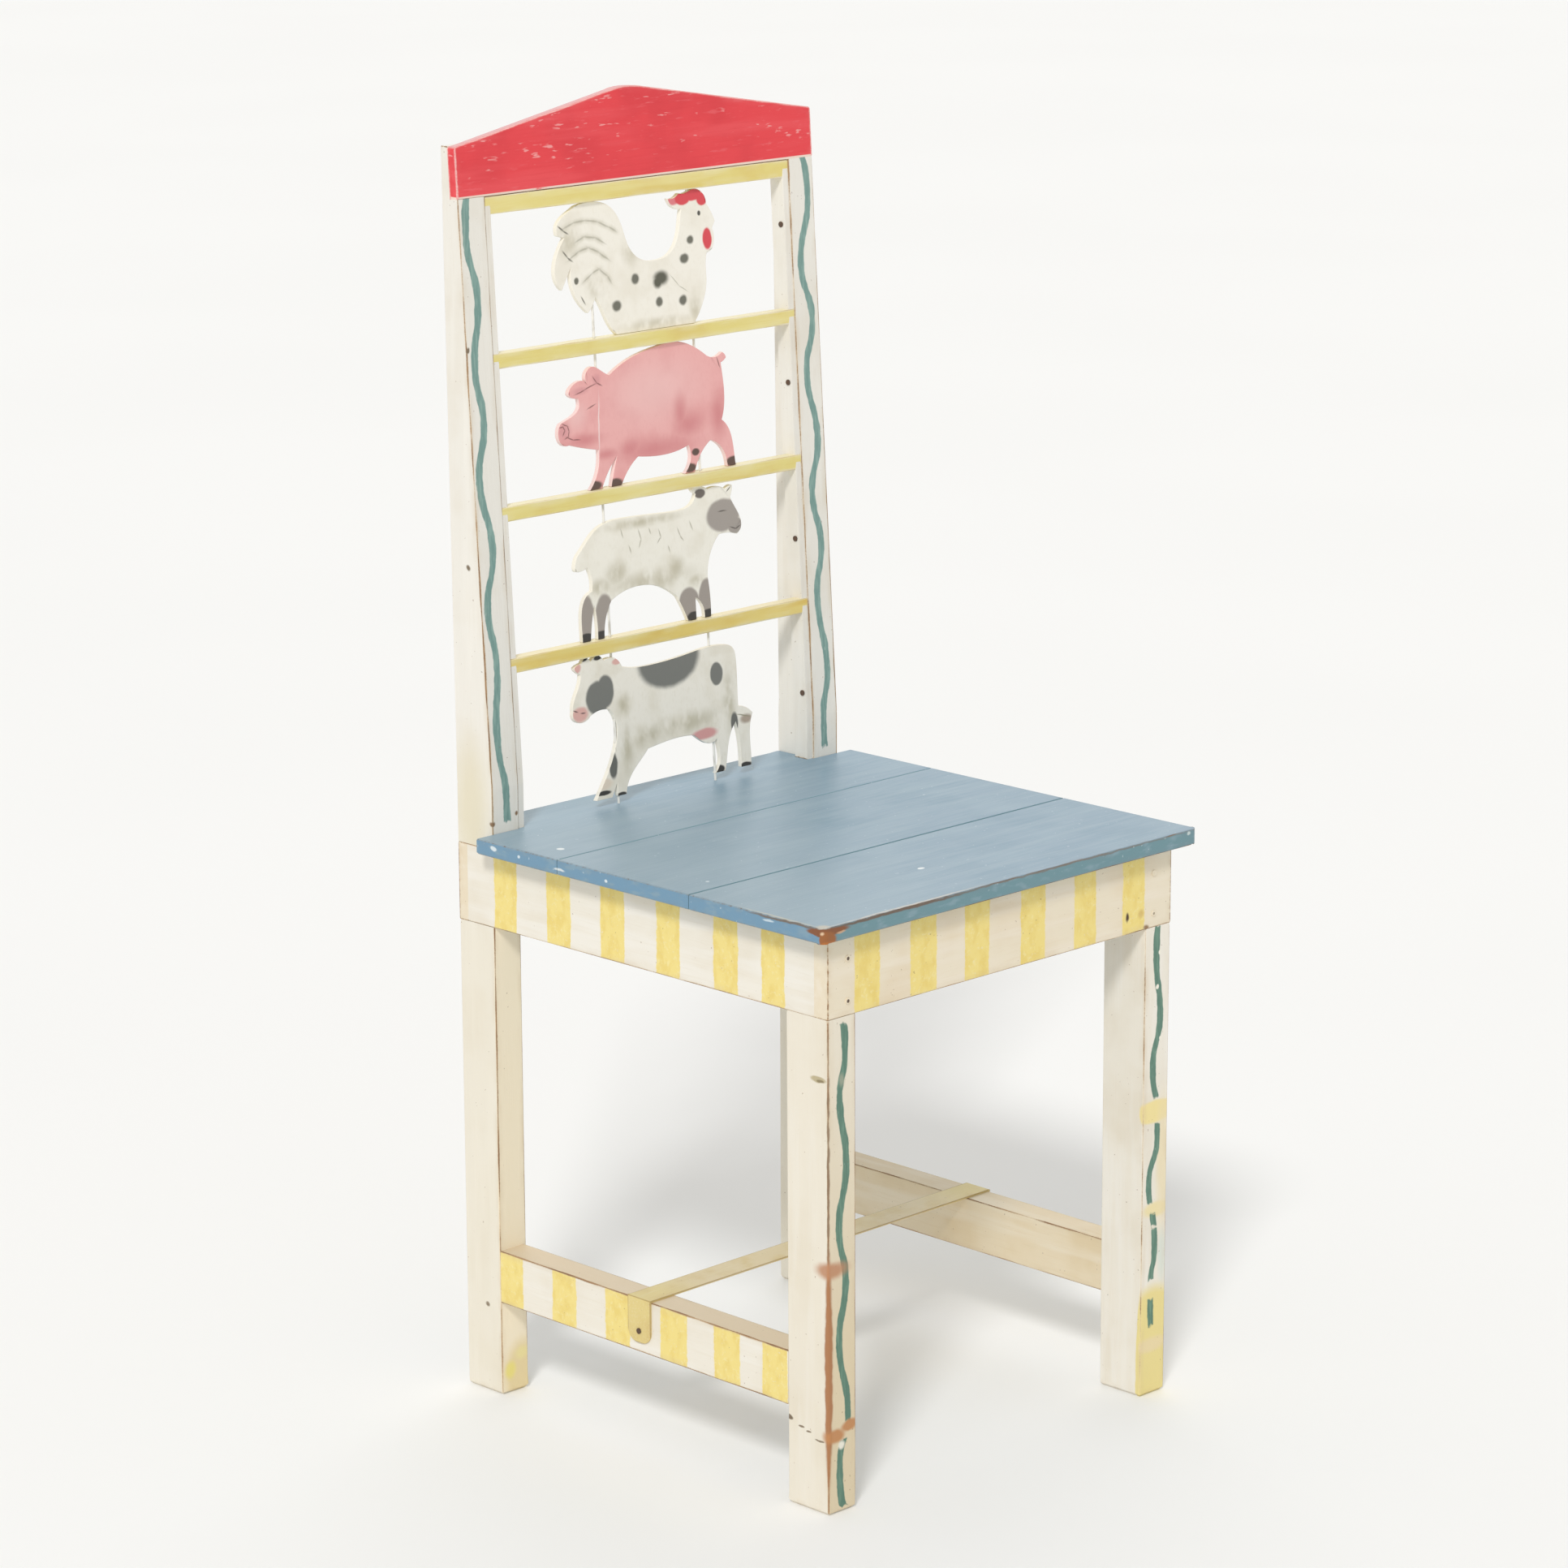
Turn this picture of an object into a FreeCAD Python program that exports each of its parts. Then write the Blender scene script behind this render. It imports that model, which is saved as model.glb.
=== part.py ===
import FreeCAD, Part
import os
import re

import Sketcher

# Painted side chair with a ladder back of cut-out farm animals.
# Millimetres, Z up, the front of the chair towards -Y, origin on the floor under its middle.
# Left and right are the viewer's, so the left side is the -X side.

SIZES = {
    # Frame, measured over the outer faces of the legs and posts
    "frame_width": 375,
    "frame_depth": 400,
    "post_width": 27,
    "post_depth": 40,
    "post_top_depth": 16,
    "post_back_rake": 5,
    "rake_start_rise": 35,
    "leg_width": 28.5,
    "leg_depth": 42,
    "foot_chamfer": 2.5,
    # Seat boards
    "seat_height": 455,
    "seat_thickness": 12,
    "seat_side_overhang": 17,
    "seat_front_overhang": 12,
    "seat_front_board_width": 138,
    "seat_middle_board_width": 142,
    "seat_board_gap": 0.6,
    "seat_post_clearance": 0.4,
    "seat_corner_radius": 6,
    # Aprons under the seat
    "apron_height": 62,
    "front_apron_thickness": 14,
    "side_apron_thickness": 12,
    "back_apron_thickness": 10,
    # Side stretchers
    "stretcher_bottom": 77,
    "stretcher_height": 42.5,
    "stretcher_thickness": 25,
    "tenon_length": 16,
    "tenon_height": 28,
    "tenon_thickness": 12,
    # Metal strap across the stretchers
    "strap_width": 25,
    "strap_thickness": 1.5,
    "strap_tab_length": 36,
    "strap_tab_radius": 10,
    "strap_bend_radius": 1.2,
    "strap_shift": 1,
    # Crest board
    "crest_thickness": 8.7,
    "crest_end_height": 39,
    "crest_apex_rise": 33.25,
    "crest_apex_shift": 10,
    "crest_apex_radius": 80,
    "crest_corner_radius": 3,
    "crest_gap": 0.7,
    # Stiles on the inner faces of the posts
    "stile_thickness": 6,
    "stile_depth": 14,
    "stile_setback": 1,
    # Slats
    "slat_height": 11.5,
    "top_slat_height": 13.3,
    "slat_depth": 10,
    "slat_setback": 1,
    "slat_first_rise": 120.5,
    "slat_pitch": 116.5,
    # Rods that thread the slats and the figures
    "rod_diameter": 2,
    "rod_clearance": 0.15,
    "rod_seat_depth": 6,
    "rod_top_margin": 3,
    "left_rod_offset": 52,
    "right_rod_offset": 53.5,
    # Cut-out figures
    "figure_thickness": 4,
    "figure_top_gap": 0.4,
    "rooster_width": 172,
    "rooster_shift": -5,
    "pig_width": 187.5,
    "pig_shift": -2.5,
    "sheep_width": 180,
    "sheep_shift": 4,
    "cow_width": 193,
    "cow_shift": 0,
    "cow_lift": 6,
    # Nails
    "nail_diameter": 2,
    "nail_head_diameter": 4.5,
    "nail_head_thickness": 0.8,
    "nail_clearance": 0.1,
    "apron_nail_length": 30,
    "apron_nail_inset": 20,
    "apron_nail_low_rise": 11,
    "apron_nail_high_rise": 43,
    "stile_nail_length": 22,
    "stile_nail_setback": 5,
    "stile_nail_first_rise": 54.5,
    "stile_nail_pitch": 126,
    "strap_nail_length": 18,
    "strap_nail_inset": 9.5,
}

SLAT_COUNT = 4
SIDES = {"left": -1, "right": 1}

# Places worked out from the sizes, each a formula in sizes and other places
PLACES = {
    "side_x": "frame_width / 2",
    "front_y": "(seat_front_overhang - frame_depth - post_back_rake) / 2",
    "back_y": "front_y + frame_depth",
    "post_front_y": "back_y - post_depth",
    "post_inner_x": "side_x - post_width",
    "leg_back_y": "front_y + leg_depth",
    "seat_underside": "seat_height - seat_thickness",
    "apron_bottom": "seat_underside - apron_height",
    "front_apron_back_y": "front_y + front_apron_thickness",
    "back_apron_front_y": "back_y - back_apron_thickness",
    "seat_front_y": "front_y - seat_front_overhang",
    "seat_side_x": "side_x + seat_side_overhang",
    "middle_board_y": "seat_front_y + seat_front_board_width + seat_board_gap",
    "back_board_y": "middle_board_y + seat_middle_board_width + seat_board_gap",
    "seat_notch_x": "post_inner_x - seat_post_clearance",
    "seat_notch_y": "post_front_y - seat_post_clearance",
    "stretcher_top": "stretcher_bottom + stretcher_height",
    "strap_top": "stretcher_top + strap_thickness",
    "strap_end_x": "side_x + strap_thickness",
    "strap_tab_end": "strap_top - strap_tab_length",
    "strap_y": "(front_y + back_y) / 2 + strap_shift",
    "first_slat_bottom": "seat_height + slat_first_rise",
    "slat_span": f"slat_pitch * {SLAT_COUNT - 1} + top_slat_height",
    "stile_top": "first_slat_bottom + slat_span",
    "crest_bottom": "stile_top + crest_gap",
    "post_height": "crest_bottom + crest_end_height",
    "rake_start": "seat_height + rake_start_rise",
    "rake_slope": "(post_depth - post_top_depth + post_back_rake) / (post_height - rake_start)",
    "rake_angle": "atan(rake_slope)",
    "crest_front_y": "post_front_y + (crest_bottom - rake_start) * rake_slope",
    "crest_top_front_y": "post_front_y + (post_height - rake_start) * rake_slope",
    "rod_bottom": "seat_height - rod_seat_depth",
    "rod_top": "stile_top - rod_top_margin",
    "rod_setback": "slat_setback + slat_depth / 2",
    "rod_bottom_y": "post_front_y + rod_setback + (rod_bottom - rake_start) * rake_slope",
    "rod_length": "(rod_top - rod_bottom) / cos(rake_angle)",
    "figure_tilt_rise": "figure_thickness / 2 * sin(rake_angle)",
}

# Outlines of the figures as runs of points, each a share of the figure's width and of its height.
# A run of two points is a straight line, a longer one is a smooth curve, and runs meet at corners.
ROOSTER_OUTLINE_SHARES = [
    [(0.14, 0.98), (0.24, 1.00), (0.36, 0.94), (0.42, 0.80), (0.46, 0.63), (0.53, 0.53),
     (0.61, 0.51), (0.70, 0.54), (0.76, 0.66), (0.78, 0.79), (0.79, 0.86)],
    [(0.79, 0.86), (0.74, 0.88), (0.71, 0.95)],
    [(0.71, 0.95), (0.75, 0.95), (0.78, 0.98)],
    [(0.78, 0.98), (0.83, 0.98), (0.88, 1.00), (0.93, 0.96), (0.95, 0.88)],
    [(0.95, 0.88), (0.98, 0.81), (1.00, 0.74)],
    [(1.00, 0.74), (0.98, 0.69)],
    [(0.98, 0.69), (0.99, 0.60), (0.97, 0.53), (0.94, 0.51)],
    [(0.94, 0.51), (0.93, 0.43), (0.93, 0.30), (0.90, 0.14), (0.84, 0.00)],
    [(0.84, 0.00), (0.36, 0.00)],
    [(0.36, 0.00), (0.31, 0.09), (0.27, 0.22), (0.24, 0.30)],
    [(0.24, 0.30), (0.22, 0.24), (0.19, 0.19)],
    [(0.19, 0.19), (0.14, 0.27), (0.10, 0.40), (0.10, 0.54)],
    [(0.10, 0.54), (0.07, 0.46), (0.04, 0.38)],
    [(0.04, 0.38), (0.00, 0.53), (0.03, 0.67), (0.07, 0.76)],
    [(0.07, 0.76), (0.03, 0.78)],
    [(0.03, 0.78), (0.03, 0.86), (0.08, 0.93), (0.14, 0.98)],
]
PIG_OUTLINE_SHARES = [
    [(0.30, 0.83), (0.42, 0.93), (0.58, 0.99), (0.69, 1.00), (0.79, 0.94), (0.86, 0.86)],
    [(0.86, 0.86), (0.91, 0.84), (0.95, 0.87)],
    [(0.95, 0.87), (0.97, 0.83), (0.94, 0.79)],
    [(0.94, 0.79), (0.95, 0.64), (0.95, 0.49), (0.93, 0.36)],
    [(0.93, 0.36), (0.97, 0.28), (0.99, 0.15), (1.00, 0.00)],
    [(1.00, 0.00), (0.95, 0.00)],
    [(0.95, 0.00), (0.92, 0.15), (0.86, 0.22)],
    [(0.86, 0.22), (0.81, 0.15), (0.76, 0.00)],
    [(0.76, 0.00), (0.70, 0.00)],
    [(0.70, 0.00), (0.74, 0.12), (0.73, 0.21)],
    [(0.73, 0.21), (0.66, 0.18), (0.55, 0.17), (0.44, 0.19)],
    [(0.44, 0.19), (0.39, 0.12), (0.34, 0.00)],
    [(0.34, 0.00), (0.28, 0.00)],
    [(0.28, 0.00), (0.30, 0.12), (0.32, 0.22)],
    [(0.32, 0.22), (0.27, 0.12), (0.23, 0.00)],
    [(0.23, 0.00), (0.16, 0.00)],
    [(0.16, 0.00), (0.21, 0.14), (0.22, 0.29)],
    [(0.22, 0.29), (0.14, 0.32), (0.06, 0.36)],
    [(0.06, 0.36), (0.01, 0.39), (0.00, 0.46), (0.02, 0.53)],
    [(0.02, 0.53), (0.07, 0.56), (0.12, 0.62), (0.12, 0.69)],
    [(0.12, 0.69), (0.07, 0.75), (0.11, 0.81), (0.17, 0.80)],
    [(0.17, 0.80), (0.17, 0.87), (0.20, 0.91), (0.25, 0.88), (0.30, 0.83)],
]
SHEEP_OUTLINE_SHARES = [
    [(0.02, 0.66), (0.07, 0.74), (0.11, 0.80), (0.19, 0.86), (0.30, 0.87), (0.46, 0.86),
     (0.61, 0.85), (0.70, 0.88), (0.73, 0.95)],
    [(0.73, 0.95), (0.71, 0.99), (0.76, 1.00), (0.80, 0.97)],
    [(0.80, 0.97), (0.86, 0.98), (0.91, 0.95)],
    [(0.91, 0.95), (0.95, 0.97), (0.94, 0.88)],
    [(0.94, 0.88), (0.98, 0.76), (1.00, 0.65), (0.97, 0.59)],
    [(0.97, 0.59), (0.92, 0.61), (0.86, 0.61)],
    [(0.86, 0.61), (0.82, 0.53), (0.79, 0.42), (0.78, 0.31)],
    [(0.78, 0.31), (0.79, 0.15), (0.79, 0.00)],
    [(0.79, 0.00), (0.75, 0.00)],
    [(0.75, 0.00), (0.74, 0.10), (0.70, 0.17)],
    [(0.70, 0.17), (0.70, 0.00)],
    [(0.70, 0.00), (0.65, 0.00)],
    [(0.65, 0.00), (0.62, 0.11), (0.59, 0.20)],
    [(0.59, 0.20), (0.53, 0.27), (0.46, 0.32), (0.38, 0.34), (0.30, 0.33), (0.20, 0.27)],
    [(0.20, 0.27), (0.17, 0.18), (0.15, 0.00)],
    [(0.15, 0.00), (0.11, 0.00)],
    [(0.11, 0.00), (0.11, 0.14), (0.10, 0.26)],
    [(0.10, 0.26), (0.08, 0.13), (0.07, 0.00)],
    [(0.07, 0.00), (0.02, 0.00)],
    [(0.02, 0.00), (0.02, 0.19), (0.04, 0.31), (0.09, 0.37)],
    [(0.09, 0.37), (0.09, 0.47), (0.07, 0.55)],
    [(0.07, 0.55), (0.03, 0.53), (0.00, 0.54), (0.00, 0.60), (0.02, 0.66)],
]
COW_OUTLINE_SHARES = [
    [(0.28, 0.89), (0.33, 0.87), (0.45, 0.86), (0.64, 0.88), (0.77, 0.90), (0.86, 0.89)],
    [(0.86, 0.89), (0.91, 0.84), (0.92, 0.74), (0.92, 0.58), (0.92, 0.44)],
    [(0.92, 0.44), (0.96, 0.42), (1.00, 0.37)],
    [(1.00, 0.37), (0.98, 0.25), (0.98, 0.12), (0.98, 0.00)],
    [(0.98, 0.00), (0.92, 0.00)],
    [(0.92, 0.00), (0.92, 0.15), (0.90, 0.33)],
    [(0.90, 0.33), (0.87, 0.26), (0.85, 0.16), (0.83, 0.00)],
    [(0.83, 0.00), (0.77, 0.00)],
    [(0.77, 0.00), (0.80, 0.07), (0.80, 0.15), (0.79, 0.24)],
    [(0.79, 0.24), (0.74, 0.22), (0.70, 0.25), (0.66, 0.30)],
    [(0.66, 0.30), (0.58, 0.31), (0.49, 0.30), (0.40, 0.28)],
    [(0.40, 0.28), (0.34, 0.19), (0.29, 0.10), (0.27, 0.00)],
    [(0.27, 0.00), (0.22, 0.00)],
    [(0.22, 0.00), (0.22, 0.09)],
    [(0.22, 0.09), (0.19, 0.00)],
    [(0.19, 0.00), (0.10, 0.00)],
    [(0.10, 0.00), (0.15, 0.12), (0.20, 0.26), (0.23, 0.40)],
    [(0.23, 0.40), (0.23, 0.52), (0.20, 0.61)],
    [(0.20, 0.61), (0.15, 0.62), (0.09, 0.59)],
    [(0.09, 0.59), (0.05, 0.56), (0.01, 0.58), (0.00, 0.65)],
    [(0.00, 0.65), (0.01, 0.73), (0.04, 0.82), (0.05, 0.89)],
    [(0.05, 0.89), (0.02, 0.94), (0.06, 0.97)],
    [(0.06, 0.97), (0.08, 1.00), (0.11, 0.97)],
    [(0.11, 0.97), (0.15, 1.00), (0.18, 0.96)],
    [(0.18, 0.96), (0.24, 0.96), (0.28, 0.89)],
]

# Shared settings of the model: exact matches of coordinates, and turns that aim an axis
SAME_PLACE = 1e-4
QUARTER_TURN = 90
TOWARDS_BACK = FreeCAD.Vector(-1, 0, 0)
AIMS = {
    "back": FreeCAD.Rotation(TOWARDS_BACK, QUARTER_TURN),
    "right": FreeCAD.Rotation(FreeCAD.Vector(0, 1, 0), QUARTER_TURN),
    "left": FreeCAD.Rotation(FreeCAD.Vector(0, -1, 0), QUARTER_TURN),
}

doc = FreeCAD.newDocument("chair")
sheet = doc.addObject("Spreadsheet::Sheet", "Sizes")
for row, (alias, size) in enumerate(SIZES.items(), start=1):
    sheet.set(f"A{row}", alias)
    sheet.set(f"B{row}", str(size))
    sheet.setAlias(f"B{row}", alias)
doc.recompute()


def formula(text):
    """Write a place or size formula out in cells of the sheet."""
    def expand(match):
        word = match.group(0)
        if word in PLACES:
            return f"({formula(PLACES[word])})"
        if word in SIZES:
            return f"Sizes.{word}"
        return word
    return re.sub(r"[a-z][a-z_]*", expand, str(text))


def value(text):
    """Work out a formula as a plain number."""
    result = sheet.evalExpression(formula(text))
    return float(getattr(result, "Value", result))


def bind(thing, **formulas):
    """Bind properties of an object to formulas, with x, y and z as its place."""
    for name, text in formulas.items():
        path = f"Placement.Base.{name}" if name in ("x", "y", "z") else name
        thing.setExpression(path, formula(text))


def lean(thing):
    """Lean an object back as the posts do above the seat."""
    thing.Placement = FreeCAD.Placement(FreeCAD.Vector(), FreeCAD.Rotation(TOWARDS_BACK, value("rake_angle")))
    thing.setExpression("Placement.Rotation.Angle", formula("rake_angle"))


def add_box(label, length, width, height, x, y, z):
    """Add a board with its sizes along X, Y and Z and its lowest corner."""
    box = doc.addObject("Part::Box", label)
    box.Label = label
    bind(box, Length=length, Width=width, Height=height, x=x, y=y, z=z)
    return box


def add_cylinder(label, radius, length, x, y, z, aim=None):
    """Add a round bar that starts at a place and runs up, or along an aim."""
    bar = doc.addObject("Part::Cylinder", label)
    bar.Label = label
    if aim:
        bar.Placement = FreeCAD.Placement(FreeCAD.Vector(), AIMS[aim])
    bind(bar, Radius=radius, Height=length, x=x, y=y, z=z)
    return bar


def add_cut(label, base, tools):
    """Take the tools away from a base and give the result its name."""
    group = doc.addObject("Part::Compound", f"{label}_tools")
    group.Links = tools
    cut = doc.addObject("Part::Cut", label)
    cut.Label = label
    cut.Base = base
    cut.Tool = group
    return cut


def add_body(label):
    """Add an empty body of sketched features."""
    body = doc.addObject("PartDesign::Body", label)
    body.Label = label
    return body


def add_polygon_pad(body, plane_role, corners, length, backwards=False):
    """Sketch a closed outline on an origin plane of a body and pad it."""
    sketch = body.newObject("Sketcher::SketchObject", f"{body.Name}_outline")
    plane = next(item for item in body.Origin.OriginFeatures if item.Role == plane_role)
    sketch.AttachmentSupport = [(plane, "")]
    sketch.MapMode = "FlatFace"
    points = [FreeCAD.Vector(value(across), value(up), 0) for across, up in corners]
    for index, point in enumerate(points):
        sketch.addGeometry(Part.LineSegment(point, points[(index + 1) % len(points)]))
    for index, (across, up) in enumerate(corners):
        follower = (index + 1) % len(points)
        sketch.addConstraint(Sketcher.Constraint("Coincident", index, 2, follower, 1))
        for kind, text, start in (("DistanceX", across, points[index].x), ("DistanceY", up, points[index].y)):
            number = sketch.addConstraint(Sketcher.Constraint(kind, -1, 1, index, 1, start))
            sketch.setExpression(f"Constraints[{number}]", formula(text))
    pad = body.newObject("PartDesign::Pad", f"{body.Name}_pad")
    pad.Profile = sketch
    pad.Reversed = backwards
    pad.setExpression("Length", formula(length))
    doc.recompute()
    return pad


def add_edge_feature(body, kind, size_name, size, picks):
    """Round or chamfer the edges of a body's last feature that a test picks."""
    base = body.Tip
    names = [f"Edge{number}" for number, edge in enumerate(base.Shape.Edges, start=1) if picks(edge)]
    feature = body.newObject(f"PartDesign::{kind}", f"{body.Name}_{kind.lower()}_{len(body.Group)}")
    feature.Base = (base, names)
    feature.setExpression(size_name, formula(size))
    doc.recompute()
    return feature


def edge_at(edge, x=None, y=None, z=None):
    """Tell whether every end of an edge lies at the places given."""
    wanted = (x, y, z)
    for vertex in edge.Vertexes:
        for found, place in zip(vertex.Point, wanted):
            if place is not None and abs(found - place) > SAME_PLACE:
                return False
    return True


def add_nail(label, length, aim, x, y, z, head_shift):
    """Add a nail whose head lies on a surface, and the hole that it needs."""
    shank = add_cylinder(f"{label}_shank", "nail_diameter / 2", length, x, y, z, aim)
    spot = dict(zip("xyz", (x, y, z)))
    axis, step = head_shift
    spot[axis] = f"{spot[axis]} {step} nail_head_thickness"
    head = add_cylinder(f"{label}_head", "nail_head_diameter / 2", "nail_head_thickness", aim=aim, **spot)
    nail = doc.addObject("Part::Fuse", label)
    nail.Base = head
    nail.Tool = shank
    hole_radius = "nail_diameter / 2 + nail_clearance"
    hole = add_cylinder(f"{label}_hole", hole_radius, f"{length} + nail_clearance", x, y, z, aim)
    return nail, hole


def add_group(label, things):
    """Gather identical pieces under one name."""
    group = doc.addObject("Part::Compound", label)
    group.Label = label
    group.Links = things
    return group


def outer_place(side, width):
    """Give the low X of a piece whose outer face is flush with the frame's side."""
    return "-side_x" if side < 0 else f"side_x - {width}"


def make_slat_blanks():
    """Make the slats without holes, numbered from the top, where the slat is taller and meets the crest."""
    blanks = []
    for number in range(1, SLAT_COUNT + 1):
        height = "top_slat_height" if number == 1 else "slat_height"
        bottom = f"first_slat_bottom + slat_pitch * {SLAT_COUNT - number}"
        front = f"post_front_y + slat_setback + ({bottom} + {height} / 2 - rake_start) * rake_slope"
        blanks.append(add_box(f"slat_{number}_blank", "post_inner_x * 2", "slat_depth", height,
                              "-post_inner_x", front, bottom))
    return blanks


def make_rod(label, radius, offset):
    """Make a leaning rod, or the bore for one, that starts down in the seat."""
    rod = doc.addObject("Part::Cylinder", label)
    rod.Label = label
    lean(rod)
    bind(rod, Radius=radius, Height="rod_length", x=offset, y="rod_bottom_y", z="rod_bottom")
    return rod


def make_apron_nails():
    """Nail both ends of the front apron to the legs, at two heights."""
    made = {side: [] for side in SIDES}
    for side, sign in SIDES.items():
        for level in ("low", "high"):
            across = f"{sign} * (side_x - apron_nail_inset)"
            up = f"apron_bottom + apron_nail_{level}_rise"
            made[side].append(add_nail(f"{side}_{level}_apron_nail", "apron_nail_length", "back",
                                       across, "front_y", up, ("y", "-")))
    return made


def make_stile_nails():
    """Nail each stile to its post at even steps, near the stile's front edge."""
    made = {side: [] for side in SIDES}
    for side, sign in SIDES.items():
        across = f"{sign} * (post_inner_x - stile_thickness)"
        for number in range(1, SLAT_COUNT + 1):
            up = f"seat_height + stile_nail_first_rise + stile_nail_pitch * {number - 1}"
            along = f"post_front_y + stile_nail_setback + max(0; {up} - rake_start) * rake_slope"
            made[side].append(add_nail(f"{side}_stile_nail_{number}", "stile_nail_length", side,
                                       across, along, up, ("x", "-" if sign > 0 else "+")))
    return made


def make_strap_nails():
    """Nail each bent end of the strap to the outer face of its stretcher."""
    made = {}
    for side, sign in SIDES.items():
        inward = "right" if sign < 0 else "left"
        made[side] = add_nail(f"{side}_strap_nail", "strap_nail_length", inward, f"{sign} * strap_end_x",
                              "strap_y", "strap_tab_end + strap_nail_inset", ("x", "+" if sign > 0 else "-"))
    return made


def make_post(side, sign, tools):
    """Make a back post: raked above the seat, more in front than behind, and lapped for the crest board."""
    body = add_body(f"{side}_back_post_blank")
    lap_y = "crest_front_y + crest_thickness * cos(rake_angle)"
    lap_z = "crest_bottom - crest_thickness * sin(rake_angle)"
    corners = [
        ("back_y", "0"),
        ("post_front_y", "0"),
        ("post_front_y", "rake_start"),
        ("crest_front_y", "crest_bottom"),
        (lap_y, lap_z),
        ("crest_top_front_y + crest_thickness / cos(rake_angle)", "post_height"),
        ("back_y + post_back_rake", "post_height"),
        ("back_y", "rake_start"),
    ]
    add_polygon_pad(body, "YZ_Plane", corners, "post_width", backwards=sign > 0)
    bind(body, x=f"{sign} * side_x")
    add_edge_feature(body, "Chamfer", "Size", "foot_chamfer", lambda edge: edge_at(edge, z=0))
    return add_cut(f"{side}_back_post", body, tools)


def make_leg(side, sign, tools):
    """Make a front leg up to the underside of the seat."""
    body = add_body(f"{side}_front_leg_blank")
    corners = [("0", "0"), ("leg_width", "0"), ("leg_width", "leg_depth"), ("0", "leg_depth")]
    add_polygon_pad(body, "XY_Plane", corners, "seat_underside")
    bind(body, x=outer_place(sign, "leg_width"), y="front_y")
    add_edge_feature(body, "Chamfer", "Size", "foot_chamfer", lambda edge: edge_at(edge, z=0))
    return add_cut(f"{side}_front_leg", body, tools)


def make_seat_front_board():
    """Make the front seat board with its two front corners rounded."""
    body = add_body("seat_front_board")
    depth = "seat_front_board_width"
    corners = [("-seat_side_x", "0"), ("seat_side_x", "0"), ("seat_side_x", depth), ("-seat_side_x", depth)]
    add_polygon_pad(body, "XY_Plane", corners, "seat_thickness")
    bind(body, y="seat_front_y", z="seat_underside")
    corner_x = value("seat_side_x")

    def front_corner(edge):
        return edge_at(edge, x=corner_x, y=0) or edge_at(edge, x=-corner_x, y=0)

    add_edge_feature(body, "Fillet", "Radius", "seat_corner_radius", front_corner)
    return body


def make_seat_back_board(bores):
    """Make the back seat board, notched round the posts and bored for the rods."""
    body = add_body("seat_back_board_blank")
    corners = [
        ("-seat_side_x", "back_board_y"),
        ("seat_side_x", "back_board_y"),
        ("seat_side_x", "seat_notch_y"),
        ("seat_notch_x", "seat_notch_y"),
        ("seat_notch_x", "back_y"),
        ("-seat_notch_x", "back_y"),
        ("-seat_notch_x", "seat_notch_y"),
        ("-seat_side_x", "seat_notch_y"),
    ]
    add_polygon_pad(body, "XY_Plane", corners, "seat_thickness")
    bind(body, z="seat_underside")
    return add_cut("seat_back_board", body, bores)


def make_crest():
    """Make the gable-shaped crest board, softly rounded at its apex, which leans with the posts."""
    body = add_body("crest_board")
    end_top = "crest_end_height / cos(rake_angle)"
    apex_top = "(crest_end_height + crest_apex_rise) / cos(rake_angle)"
    corners = [
        ("-side_x", "0"),
        ("side_x", "0"),
        ("side_x", end_top),
        ("-crest_apex_shift", apex_top),
        ("-side_x", end_top),
    ]
    add_polygon_pad(body, "XZ_Plane", corners, "crest_thickness", backwards=True)
    corner_x = value("side_x")
    corner_z = value(end_top)
    apex_x = value("-crest_apex_shift")
    apex_z = value(apex_top)

    def top_corner(edge):
        return edge_at(edge, x=corner_x, z=corner_z) or edge_at(edge, x=-corner_x, z=corner_z)

    def apex(edge):
        return edge_at(edge, x=apex_x, z=apex_z)

    add_edge_feature(body, "Fillet", "Radius", "crest_corner_radius", top_corner)
    add_edge_feature(body, "Fillet", "Radius", "crest_apex_radius", apex)
    lean(body)
    bind(body, y="crest_front_y", z="crest_bottom")
    return body


def make_stile(side, sign, tools):
    """Make the lath on a post's inner face, notched for the slats."""
    body = add_body(f"{side}_stile_blank")
    top_shift = "(stile_top - rake_start) * rake_slope"
    front = "post_front_y + stile_setback"
    corners = [
        (front, "seat_height"),
        (front, "rake_start"),
        (f"{front} + {top_shift}", "stile_top"),
        (f"{front} + stile_depth + {top_shift}", "stile_top"),
        (f"{front} + stile_depth", "rake_start"),
        (f"{front} + stile_depth", "seat_height"),
    ]
    add_polygon_pad(body, "YZ_Plane", corners, "stile_thickness", backwards=sign > 0)
    bind(body, x=f"{sign} * post_inner_x")
    return add_cut(f"{side}_stile", body, tools)


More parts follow.
